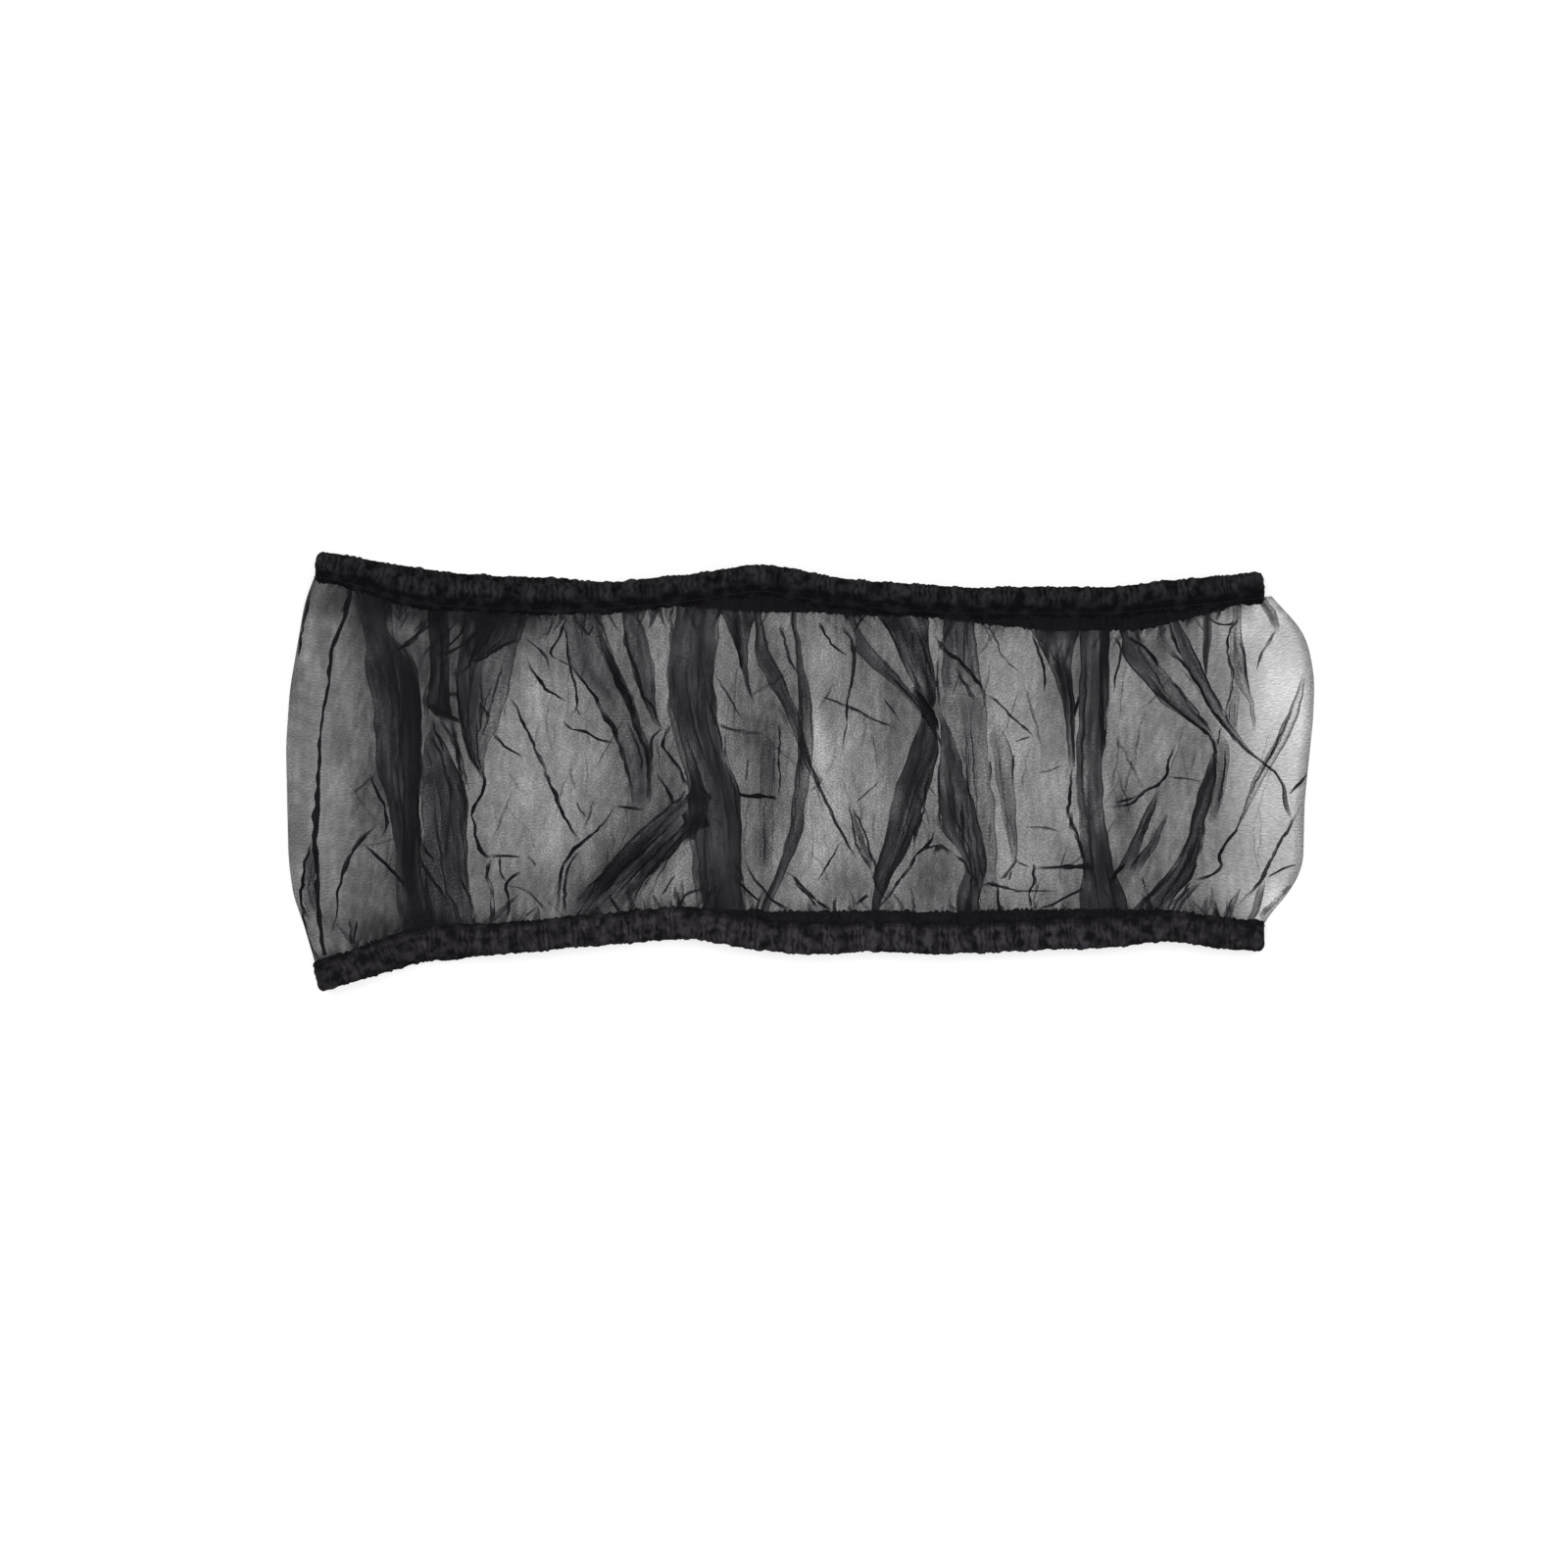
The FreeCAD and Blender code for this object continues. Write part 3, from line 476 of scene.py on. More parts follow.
# Creases: sharp narrow folds, each with its extra plies and the middle line's points, with the half width
# measured square to it before it is pressed.
FRONT_CREASES = [
    (3, [(-246, 118, 1.2), (-258, 106, 1.6), (-272, 96, 1.6), (-286, 90, 1)]),
    (3, [(-268, 122, 1), (-280, 108, 1.6), (-292, 98, 1.6), (-300, 88, 1)]),
    (2.5, [(-282, 124, 1), (-296, 112, 1.2), (-308, 104, 1)]),
    (3, [(-276, 90, 1), (-290, 74, 2), (-296, 56, 2.4), (-294, 38, 1.2)]),
    (3, [(-286, 44, 1), (-276, 28, 1.6), (-268, 8, 2), (-262, -16, 1.4)]),
    (2.5, [(-292, 30, 1), (-284, 12, 1.4), (-278, -8, 1.6), (-270, -30, 1.2)]),
    (5, [(-384, 148, 1), (-389, 133, 1.6), (-392, 118, 1.7), (-395, 100, 1.4), (-398, 85, 1)]),
    (4, [(-394, -108, 1), (-391, -125, 1.6), (-386, -140, 1.6), (-380, -150, 1.2)]),
    (4, [(-76, -30, 1.6), (-84, -42, 1.3), (-97, -56, 1.2), (-112, -72, 1.3), (-124, -88, 1.2),
        (-132, -104, 1)]),
    (3, [(-92, -30, 1), (-104, -44, 1.3), (-120, -60, 1.2), (-138, -76, 1.4), (-156, -94, 1.2),
        (-170, -112, 1)]),
    (2, [(-108, -40, 4), (-124, -56, 6), (-142, -74, 7), (-156, -90, 6), (-170, -106, 4)]),
    (2.5, [(-84, -36, 3), (-98, -54, 5), (-116, -74, 5), (-130, -90, 4), (-142, -108, 3)]),
    (3, [(-86, 4, 2), (-82, -10, 6), (-80, -26, 9), (-84, -42, 9), (-96, -58, 4)]),
    (4.5, [(-78, -34, 1), (-88, -50, 1.3), (-104, -66, 1.1), (-118, -84, 1.3), (-132, -104, 1)]),
    (4, [(-96, -22, 1), (-112, -36, 1.2), (-130, -52, 1.1), (-148, -72, 1.3), (-164, -94, 1),
        (-172, -112, 0.8)]),
    (3.5, [(-92, -42, 0.8), (-110, -62, 1.1), (-130, -82, 0.9), (-150, -104, 0.8)]),
    (3, [(-84, -44, 0.8), (-98, -62, 0.9), (-112, -84, 0.9), (-122, -108, 0.8)]),
    (5, [(88, 66, 2), (95, 56, 4), (100, 48, 5.5), (104, 40, 5), (108, 30, 2)]),
    (5, [(-294, 122, 2), (-300, 110.5, 2), (-306, 103, 2), (-312, 99.5, 2.4), (-317, 96, 2.2),
        (-321, 95, 1)]),
    (2.5, [(-315.5, 114, 1), (-311, 120, 1.1), (-307.5, 126, 1)]),
    (2, [(-318, 110, 0.8), (-313, 118, 0.8), (-310, 125, 0.7)]),
    (2, [(-305, 108, 0.8), (-300, 116, 0.8), (-297, 124, 0.7)]),
    (4.5, [(-264.5, 116, 1.2), (-270.5, 106, 1.3), (-278.6, 96.4, 1)]),
    (4.5, [(-257.7, 110, 1.2), (-261.5, 101, 1.3), (-265, 91, 0.9)]),
    (4.5, [(-250.5, 112, 1.2), (-255, 99, 1.3), (-261.4, 85.5, 1.4), (-266.8, 78.2, 1.6), (-275, 76.4, 1.2)]),
    (5, [(-220, 104, 1), (-236, 98.2, 1.3), (-249.5, 89, 1.3), (-263, 85.5, 1)]),
    (4, [(-270.9, 76, 0.9), (-268.6, 49, 1.3), (-266.8, 39, 1.4), (-264, 22, 1.4), (-257.7, 5.5, 1.5),
        (-251.4, -5.5, 1.5)]),
    (4, [(-277, 60, 1), (-273.5, 60.5, 1.4), (-270.5, 60, 1)]),
    (3.5, [(-254, 52.7, 0.8), (-249, 47, 1.3), (-244, 41.8, 1)]),
    (4.5, [(-242.3, 29, 1.2), (-231.4, 18.2, 1), (-218.6, 10.9, 0.7)]),
    (6, [(-230, 60, 0.8), (-223.2, 48.2, 1.1), (-217.7, 36.4, 1.3), (-209.5, 19, 1.4), (-200.5, -1.8, 1.7),
        (-190.5, -26.4, 1.7), (-184, -40, 1.5), (-175.9, -52.7, 1.2), (-172.7, -58.2, 1.2)]),
    (4, [(-218, 105, 1.2), (-208.6, 99, 1.2), (-200, 90, 1), (-198, 80, 0.6)]),
    (4, [(-215, 87, 0.8), (-206.8, 72.7, 1.2), (-200, 64.5, 1.3), (-192, 59, 1), (-184, 55, 0.7)]),
    (4, [(-294, 51.8, 1.8), (-283, 45, 2.2), (-274, 41.8, 2.2), (-266.8, 38.2, 1.8)]),
    (3, [(-290.5, 40, 0.9), (-286, 27.3, 1.2), (-281, 15, 0.7)]),
    (4, [(-275, 39, 1.2), (-273, 31, 1.6), (-271, 22, 1.8), (-269.5, 8, 1.8), (-267.7, -5.5, 1.5),
        (-265, -18, 1)]),
    (7, [(-250.5, 4, 1), (-249.5, -11, 1.5), (-251.4, -19, 1.5), (-256.8, -28, 1.6), (-259, -33.6, 1.5),
        (-256.8, -41, 1.3), (-255.9, -51.8, 1.3), (-253, -61.8, 1.6), (-246, -68.2, 1.7), (-241, -66, 1.2)]),
    (4.5, [(-243, -68, 1.2), (-236.4, -67.3, 1.3), (-220.5, -68.2, 0.9)]),
    (6, [(-243, -69, 1.2), (-246.8, -76.4, 1.5), (-246.8, -82.7, 1.4), (-244, -91, 1.5), (-243, -111, 1.8),
        (-243, -120, 2)]),
    (4, [(-215, -67.3, 0.7), (-207.7, -75.5, 0.9)]),
    (5, [(-220.5, -79, 0.9), (-231.4, -89, 1.3), (-230, -108, 1.4), (-232.3, -118, 1.6)]),
    (4, [(-230.5, -91, 1), (-216, -94.5, 1.1), (-206, -104.5, 1.3), (-200, -112, 1.3)]),
    (4, [(-236.8, -67.3, 0.8), (-236.8, -79, 1), (-232, -88, 0.8)]),
    (3.5, [(-217.7, -115.5, 0.8), (-206.8, -107.3, 1)]),
    (5, [(-331.4, -41, 1.2), (-338, -46, 1.4), (-343.5, -51, 1.8), (-350.5, -59.5, 2.2), (-358, -73, 2),
        (-362.5, -85, 1.4), (-365, -100, 1), (-366.5, -115, 0.9), (-370.5, -129, 0.7)]),
    (4, [(-345, -58, 0.9), (-336, -66, 1.1), (-322.3, -79, 1.4), (-314, -88, 1.6), (-307.7, -99, 1.2)]),
    (4, [(-355, -117, 0.7), (-355.3, -126, 1.2), (-354, -138, 1.6)]),
    (3, [(-350, -118, 0.7), (-351.5, -127, 1.1), (-352, -138, 1.4)]),
    (4.5, [(-339.5, -2, 0.8), (-338.6, -8.2, 1), (-334, -17.3, 1.2), (-328.6, -30, 1.5), (-326.8, -39, 1.5),
        (-328.6, -49, 1.1), (-333, -54, 0.8)]),
    (4.5, [(-297.7, -55.5, 1.2), (-294, -65.5, 1.5), (-288.6, -71.8, 1.3)]),
    (4.5, [(-299.5, -67.3, 1), (-294, -81, 1.4), (-286.8, -91, 1.8), (-281, -104, 1.6)]),
    (4, [(-269.5, -84.5, 1), (-265, -92.7, 1.3), (-260.5, -100, 1.2), (-258, -112, 1)]),
    (5, [(-386, -57, 0.8), (-389, -67, 1.2), (-393.7, -90, 1.4), (-394.8, -99, 1.6), (-391.5, -110, 1.3),
        (-385, -119, 1.2)]),
    (5, [(-183, 93, 0.8), (-180, 82, 1), (-170, 69, 1), (-163, 60, 1.2), (-156, 47, 2.2), (-148, 34, 2.2),
        (-142, 22, 2), (-138, 5, 1.6), (-134.5, -5, 1.3), (-132, -24, 1)]),
    (5, [(-160, 118, 2.2), (-157.5, 106, 2.6), (-151.5, 92, 3), (-146.5, 78, 3.4), (-134.5, 52, 3.4),
        (-125.9, 27.3, 3), (-121.8, 18, 2.8), (-118.5, 8, 2.4), (-118.6, -8, 1.8), (-119, -26, 1.2)]),
    (4, [(-138, 115, 2), (-137.5, 102, 2), (-134, 91, 1.6), (-126.8, 71, 1.4), (-124, 60, 1.2),
        (-118.6, 53.6, 1), (-113.2, 41.8, 1), (-108.6, 33.6, 1)]),
    (6, [(-100.5, 36.4, 1), (-106, 29, 1.6), (-107.7, 22.7, 1.6), (-96.8, 3.6, 1.5), (-91.4, -7.3, 1.7),
        (-88.6, -13.6, 2)]),
    (4, [(-108.6, 33.6, 0.9), (-116.8, 25.5, 1.1), (-116.8, 12.7, 1.2), (-118.5, 5, 1)]),
    (5, [(-111.4, 0.9, 0.9), (-112.3, -1.8, 1.1), (-107.7, -10, 1.4), (-102.3, -20, 1.3), (-99.5, -25.5, 1.2),
        (-93.2, -19, 1.2), (-89.5, -14.5, 1.2)]),
    (3, [(-112.3, 21.8, 0.7), (-111.4, 0.9, 0.7)]),
    (4.5, [(-185.5, 120, 1.4), (-190.5, 105.5, 1.3), (-195.9, 91, 1.1), (-191, 88, 0.8)]),
    (4.5, [(-185.5, 118, 1.2), (-184.5, 101.8, 1.1), (-182.7, 89, 1.2), (-178.6, 69, 1.2), (-176.8, 49, 0.9),
        (-181.4, 41.8, 0.7)]),
    (3, [(-176.8, 49, 0.8), (-173.6, 43.6, 0.6)]),
    (3, [(-191, 88, 0.7), (-183, 83.6, 0.9)]),
    (4, [(-178.6, 119, 1), (-171.4, 112.7, 1), (-166.8, 107.3, 1.2), (-162.3, 115.5, 1)]),
    (4.5, [(-187.7, 40, 0.7), (-181.4, 33.6, 1), (-170.5, 31, 1.1), (-159.5, 25, 1), (-145, 21.8, 1)]),
    (5, [(-145, -26.4, 0.8), (-150.5, -35.5, 1), (-161.4, -48, 1.4), (-177.7, -61.8, 1.6), (-184, -70, 1.5),
        (-187.7, -79, 1.4), (-191.4, -97, 1.8), (-191.4, -114, 2.2)]),
    (4, [(-173.2, -62.7, 1), (-180.5, -71.8, 1.3), (-185.5, -94.5, 1.4), (-185.5, -113, 1.8)]),
    (2.5, [(-176.8, -23.6, 0.6), (-173.2, -31.8, 0.8), (-168.6, -37.3, 0.6)]),
    (4, [(-145, -28, 0.8), (-130, -30, 1.3), (-122, -31, 0.8)]),
    (3, [(-98.6, -82.7, 0.8), (-104, -90, 1), (-108.6, -99, 0.8)]),
    (4, [(-74, -92.7, 0.9), (-88.6, -97.3, 1.2), (-97.7, -109, 1.2)]),
    (5, [(-150.5, -98.2, 1), (-145, -107.3, 1.3), (-141.4, -112, 1.4)]),
    (3, [(-65, 73.6, 1), (-57.7, 61.8, 1), (-53.2, 53.6, 1), (-45.9, 41, 0.6)]),
    (5, [(-65, 37.3, 1.2), (-55.9, 33, 1.4), (-43.2, 30.5, 1.5), (-28.6, 29.5, 1)]),
    (3.5, [(-58.6, 28, 0.8), (-58.6, 10, 1)]),
    (3.5, [(-15.5, 37, 0.8), (-16.4, 17, 0.9), (-15.5, -20, 0.8)]),
    (3.5, [(-40.5, 10, 0.8), (-43.2, -8, 0.9)]),
    (5.5, [(-49.5, -17.3, 1.2), (-45, -19.5, 1.6), (-30.5, -20, 1.8), (-17.7, -21.8, 1.2)]),
    (3.5, [(-14, 116, 1), (-14, 112, 1.6), (-12.3, 103.6, 1), (-9.5, 92.7, 1.4), (-5.9, 83.6, 1.2),
        (-1.4, 76.4, 1)]),
    (3, [(-30, 116, 1), (-24, 94.5, 1), (-14, 74.5, 0.9), (-6.8, 56.4, 1), (-2.3, 47.3, 0.8)]),
    (4.5, [(-44, -70, 1.2), (-38.6, -82, 1.5), (-31.4, -91, 1.5), (-17.7, -105.5, 1.3), (-5.9, -111, 1.2)]),
    (4, [(-51.4, -85.5, 1), (-43.2, -93.6, 1.4), (-30.5, -103.6, 1)]),
    (4, [(-51.4, -71.8, 0.9), (-44, -86.4, 1.2)]),
    (4.5, [(-13.2, -79.5, 1.2), (-6.8, -82.7, 1.2), (2.3, -92.7, 1.5), (12.3, -101.8, 1.5), (26, -111, 1.4)]),
    (3.5, [(-3.2, -88, 0.8), (6.8, -100, 1.1), (14, -108, 1)]),
    (3, [(32.3, -56.4, 0.6), (26, -67.3, 0.9), (14, -88, 0.6)]),
    (3, [(62.3, -8, 0.5), (56, -14.5, 0.8), (44, -25.5, 0.8)]),
    (4, [(38.6, -24.5, 0.5), (41.4, -37.3, 0.9), (43.2, -51.8, 1.1), (46.8, -62.7, 1.2), (52.3, -71, 1.2),
        (58, -82, 1.2)]),
    (3.5, [(38.8, -25, 0.5), (46, -37.3, 0.9), (51.4, -50, 1.1), (55, -61, 1.3), (59.5, -74.5, 1.3),
        (59.5, -88, 1.4), (66, -99, 1.3), (74, -109, 1.2)]),
    (1.8, [(41, -30, 0.8), (46.5, -48, 3), (52, -64, 3.6), (58, -78, 2)]),
    (5, [(79.5, -85.5, 1.2), (74, -92.7, 1.3), (69.5, -100, 1.4), (62, -108, 1.2)]),
    (4.5, [(44, -106, 1), (54, -98, 1.4)]),
    (5, [(31.4, 119, 1.4), (36.8, 110, 1.6), (40.5, 103.6, 1.8), (42.3, 96.4, 2), (43.2, 85.5, 1.9),
        (41.4, 74.5, 1.5), (38.2, 52.7, 1), (35.5, 28, 0.9), (33.6, 12.7, 0.5)]),
    (4, [(52.3, 123.6, 1.2), (46, 116, 1.2), (42.3, 108, 1.4)]),
    (3.5, [(15, 117.3, 1), (17.7, 112.7, 1.3), (23.2, 103.6, 1), (29.5, 96.4, 0.9), (37.7, 91, 0.6)]),
    (3.5, [(15, 60, 0.7), (26, 55.5, 0.8), (37.7, 51, 1.4), (47.7, 46.4, 1.3), (57.7, 41, 1),
        (71.4, 35.5, 0.9), (79.5, 32, 0.7)]),
    (4, [(62.3, 121, 1), (70.5, 111, 1.2), (75, 101, 1.2), (79.5, 90, 1.1)]),
    (3, [(66, 58, 0.6), (71.4, 51, 0.8), (79.5, 38, 0.7)]),
    (5, [(106, 107.3, 1.2), (114, 96.4, 1.8), (119.5, 91, 1.8), (126, 88, 1.6), (131.4, 81, 2),
        (138.6, 72.7, 2.2), (143.2, 67.3, 2), (146, 58, 1.6), (148.6, 53.6, 1.2)]),
    (4, [(123.2, 81.8, 1), (131.4, 67.3, 1.5), (137.7, 58, 1.5), (145, 51, 1.2)]),
    (4, [(145, 61.8, 0.8), (154, 56.4, 1), (161.4, 49, 1), (169.5, 41, 1.1), (179.5, 32.7, 1),
        (185.9, 26.4, 0.7)]),
    (2.5, [(144, 114.5, 0.8), (152.3, 110, 0.9), (156, 101.8, 0.8), (161.4, 89, 0.7), (170.5, 81, 0.7),
        (176, 76.4, 0.5)]),
    (4.5, [(183.2, 108, 1), (186.8, 100, 1.1), (190.5, 89, 1.1), (193.2, 81.8, 1.1), (194, 72.7, 1.2),
        (193.2, 61.8, 0.8)]),
    (4, [(102.3, 43.6, 1), (106.8, 32.7, 1.3), (112.3, 19, 1.3)]),
    (2.5, [(170.5, 22.7, 0.5), (182.3, 27.3, 0.6)]),
    (2.8, [(109, 92, 0.7), (109, 70, 0.9), (111, 50, 0.8)]),
    (5.5, [(107.5, -46, 0.6), (104.5, -53, 1.3), (99, -60, 1.5), (92.5, -66.5, 1.3), (86, -77, 1.4),
        (79.5, -86, 1.4), (75, -93, 1.2), (68, -101, 1.2)]),
    (3.5, [(98, -62, 0.8), (102, -60.5, 1.2), (107, -59.5, 1), (112, -58, 0.8)]),
    (3.5, [(103, 2, 0.8), (98.5, -23, 1.3), (95.5, -38, 1.5), (93, -46, 2), (91, -58, 1), (90.5, -66, 0.8)]),
    (3.5, [(110, 6, 0.9), (110.5, -25, 1.1), (112, -45, 1.3), (114.5, -54, 1.5)]),
    (3, [(127.5, -26, 1), (128.5, -38, 2), (129, -48, 1.5), (129.5, -62, 0.9)]),
    (5, [(123, -67, 0.8), (127, -70, 1.1), (131, -74, 1.3), (133.5, -78.5, 1.2), (141, -88, 1.2)]),
    (4, [(145, -62, 0.8), (146, -70, 1.2), (146.5, -78, 1.2), (145.5, -84, 1)]),
    (3, [(106, -66, 1), (112, -60, 3), (119, -66, 2)]),
    (2, [(150.5, -36, 0.8), (150.3, -48, 1.2), (150, -58, 0.9)]),
    (2.5, [(150.5, 8, 0.8), (151, -2, 1), (150.5, -8, 0.7)]),
    (3, [(168.7, 14, 0.8), (168.5, 2, 1), (168.6, -9, 0.8)]),
    (5.5, [(169.5, -66, 0.8), (169.5, -72, 1.6), (166.5, -78, 1.5), (162, -83, 1.3), (158, -86, 1)]),
    (3, [(168, -79, 0.9), (166, -83, 1), (165, -87, 0.7)]),
    (5, [(142, -91, 0.8), (146, -89.5, 1.4), (151, -89, 1.7), (157, -91, 1.6), (163, -92.5, 1.3),
        (170, -94.5, 1.2), (188, -95, 1), (204, -95, 0.6)]),
    (4.5, [(156, -92, 0.9), (156.5, -100, 1.2), (158, -108, 1.4), (160, -114, 1.3)]),
    (3.5, [(142.5, -93, 0.9), (141.5, -103, 1), (142.5, -112, 1.2)]),
    (4, [(184.8, -73, 1), (185.2, -80, 1.5), (185, -88, 1.3), (182.5, -97, 1.1), (181.8, -105, 1.1),
        (184, -110, 1)]),
    (3, [(186.5, -82, 0.8), (187.5, -90, 0.9), (187, -98, 0.7)]),
    (4, [(186.5, -76.8, 0.8), (195, -76.8, 1.2), (205, -76.2, 1.8), (215, -76, 2.6), (226, -75.5, 3),
        (234, -75, 2.5)]),
    (2.2, [(178, -44.5, 0.7), (185, -44.5, 0.9), (200, -46.5, 1), (206, -49, 0.6)]),
    (2, [(172, -72, 0.6), (177, -74.5, 0.9), (181, -75.5, 0.6)]),
    (4.5, [(226, -92, 1), (222, -94.5, 1.8), (217.5, -96.5, 1.8), (208, -101, 1.2), (202, -105, 1.2),
        (188, -109, 1)]),
    (1.8, [(188, -1, 0.5), (194, -1, 0.8), (206.8, 4, 0.6)]),
    (5, [(215.5, 3, 1), (214.8, -8, 1.1), (213.6, -18, 1.5), (213, -26, 1.6), (212, -33, 1.5),
        (211.5, -38, 1.2)]),
    (4, [(214.5, -32, 1.5), (214.5, -40, 2.8), (216.5, -47, 2.2), (220, -55, 1.5), (223, -64, 1.4),
        (225, -72, 1.4)]),
    (4, [(220.5, 60, 0.8), (219.3, 52, 1.5), (217.5, 42, 1.2)]),
    (4.5, [(239.2, 104, 1.2), (239, 85, 1.5), (238.8, 60, 1.3), (239.5, 45, 1.4), (240.2, 35, 1.7),
        (240.5, 25, 1.5), (240, 15, 1), (239, 8, 0.6)]),
    (4.5, [(247, 106, 0.8), (251.5, 102, 1.2), (254.3, 97, 1.5), (253.5, 89, 1.3), (250, 75, 1),
        (249, 66, 0.9), (249, 59, 0.6)]),
    (5.5, [(255, 92, 1), (270, 74, 1), (283, 61, 1.2), (292, 53, 1.3), (307, 41.5, 1.4), (313, 36.5, 1.7),
        (320, 31, 1.4), (325.5, 27, 1.5), (327.8, 20, 1.5), (328.3, 12, 1.6), (327.5, 2, 1.6),
        (324.5, -6, 1.4)]),
    (5, [(258, 106, 1), (265, 102, 1.3), (273, 98, 1.3), (278, 91, 1.4), (281, 87, 1.5), (283, 81, 1)]),
    (4.5, [(292, 72, 0.8), (300, 64, 1.3), (306, 57, 1.3), (311, 50, 1.2), (316, 43, 1.2), (321, 37, 1.2),
        (325, 31, 1)]),
    (5.5, [(284, 99, 1), (289, 96.5, 1.5), (295, 92, 1.9), (301, 87, 1.5), (306, 81, 1.4), (311, 74, 1.4),
        (316, 66, 1.3), (320, 57, 1.3), (325, 49, 1.3), (335, 36, 1.2), (345, 22, 1.2)]),
    (4, [(291, 118, 1.2), (295, 108, 1.5), (297, 100, 1.4), (301, 92, 1.2)]),
    (3, [(301, 113, 0.7), (309, 99, 0.9), (317, 83, 0.9), (325, 65, 0.9), (334, 50, 0.9), (341, 35, 0.9)]),
    (3.5, [(333.5, 34, 0.8), (331, 26, 1), (330, 20, 1)]),
    (4.5, [(324, 121, 0.9), (328, 117, 1.2), (334, 115.5, 1.2), (340, 115.5, 1), (344, 118, 0.9)]),
    (4.5, [(347, 125, 1), (345.5, 118, 1.3), (341.5, 113.5, 1.3), (339, 107, 1.1), (338, 96, 1.1),
        (339.5, 87, 1.2), (341.8, 79, 1.6), (342, 68, 1.2), (340.5, 58, 1), (337, 49, 1), (335.5, 44, 0.8)]),
    (3.5, [(376.5, 111, 0.8), (371, 103, 1.4), (367, 95, 1.3), (363.5, 86, 1.1), (361, 79, 0.7)]),
    (4, [(404, 5, 0.8), (402, -2, 1.2), (398, -7, 1.2), (392, -13, 1.4), (387, -19, 1)]),
    (4.5, [(396, -27, 0.8), (391, -37, 1.2), (385, -48, 1.2), (378, -60, 1.3), (372.5, -70, 1.6),
        (368.5, -79, 2), (364, -88, 1.5), (351, -102, 1.5), (344, -110, 1.3)]),
    (3, [(393, -74, 0.7), (386, -76, 0.9), (378, -79.5, 0.9), (370, -84, 0.8)]),
    (2.5, [(389, -90, 1), (380, -99, 1.8), (372, -107, 2.2), (364, -116, 2.2)]),
    (5, [(352, -30, 1.2), (348, -40, 1.3), (343, -49, 1.2), (337, -56, 1.4), (333, -63, 1.5),
        (331.5, -69, 1.3), (332.5, -73, 1.5), (333, -76.5, 1.5), (329, -80, 1.3), (324, -83, 1.3),
        (318, -85.5, 1.4), (311, -86.5, 1.2)]),
    (5.5, [(242.5, -28.5, 0.8), (249, -28.2, 1.2), (256, -27.5, 1.3), (262, -26, 1.5), (267, -21.5, 1.6),
        (271, -17.5, 1.5), (276, -14, 1.2), (282, -12, 1.3), (286, -8.5, 1.8), (289, -3, 1.3),
        (293.5, 13, 1.1), (296, 20, 0.6)]),
    (3.5, [(249, -25.5, 0.8), (256, -23.5, 1.2), (262, -22, 1), (268, -19, 0.8)]),
    (4, [(289, -5, 0.8), (297, -5.8, 1.2), (305, -6.2, 1.2), (311, -7, 1), (318, -9, 0.7)]),
    (4, [(257, -73, 1), (253, -78, 1.8), (248, -84, 1.8), (245, -88, 1)]),
    (2.5, [(243, -51, 0.8), (246, -44, 1.2), (249, -38, 0.9)]),
    (3, [(271, -83, 0.8), (272, -92, 1.2), (272.5, -98, 0.9)]),
    (4, [(319.5, -38, 1), (319.5, -48, 1.4), (318.5, -56, 1), (317.5, -62, 1.4), (315, -68, 1)]),
    (3.5, [(309, -88, 1), (304, -95, 1.3), (299, -101, 1.3), (292, -108, 1.3)]),
    (3, [(344, -98, 0.6), (340, -105, 1), (337, -112, 1)]),
]


def pressed_lines(pleats, seed):
    """Creases pressed into the wider pleats: each keeps its share of the way across for part of the length."""
    draw = np.random.default_rng(seed)
    lines = []
    for _, _, _, points in pleats:
        table = np.array(points, float)
        widest = table[:, 2].max()
        if widest < 5:
            continue
        down = np.linspace(0, 1, len(table))
        for _ in range(int(1 + widest / 4.5)):
            start, share = draw.uniform(0, 0.6), draw.uniform(0.25, 0.75)
            at = np.linspace(start, min(start + share, 1), 5)
            x, y, half = (np.interp(at, down, table[:, i]) for i in range(3))
            across = draw.uniform(-0.8, 0.8) + np.linspace(0, draw.normal(0, 0.35), 5)
            thin = draw.uniform(0.5, 1.2) * np.array([0.7, 1, 1.1, 1, 0.5])
            x = x + np.clip(across, -0.93, 0.93) * half
            lines.append((draw.uniform(1.0, 3.0), np.stack([x, y, thin], 1).tolist()))
    return lines


GATHER_SPAN = (-355, 350)  # X between which the hems' gathers start


def gather_lines(hem, layer, count, seed):
    """Short creases that start at a hem's gathers and fan out into the net, each of three points."""
    draw = np.random.default_rng(seed)
    x = draw.uniform(*GATHER_SPAN, count)
    length = 6 + 24 * draw.random(count) ** 2
    drift = length * draw.normal(0, 0.45, count)
    bend = length * draw.normal(0, 0.07, count)
    half = draw.uniform(0.7, 2.6, count)
    plies = draw.uniform(0.5, 1.9, count)
    side = HEM_SIDE[hem]
    edge = side * (side * hem_run(hem, layer, x) - CASING_INNER_EDGE + 1.5)
    first = np.stack([x, edge, half * 1.6], 1)
    second = np.stack([x + drift * 0.45 + bend, edge - side * length * 0.5, half], 1)
    third = np.stack([x + drift, edge - side * length, half * 0.4], 1)
    return [(p, np.stack([a, b, c]).tolist()) for p, a, b, c in zip(plies, first, second, third)]


STRAY_SPAN_X, STRAY_SPAN_Y = (-350, 370), (-85, 85)  # where the middles of stray creases lie
STRAY_LIMIT = 112  # and how far from the sleeve's middle they may reach


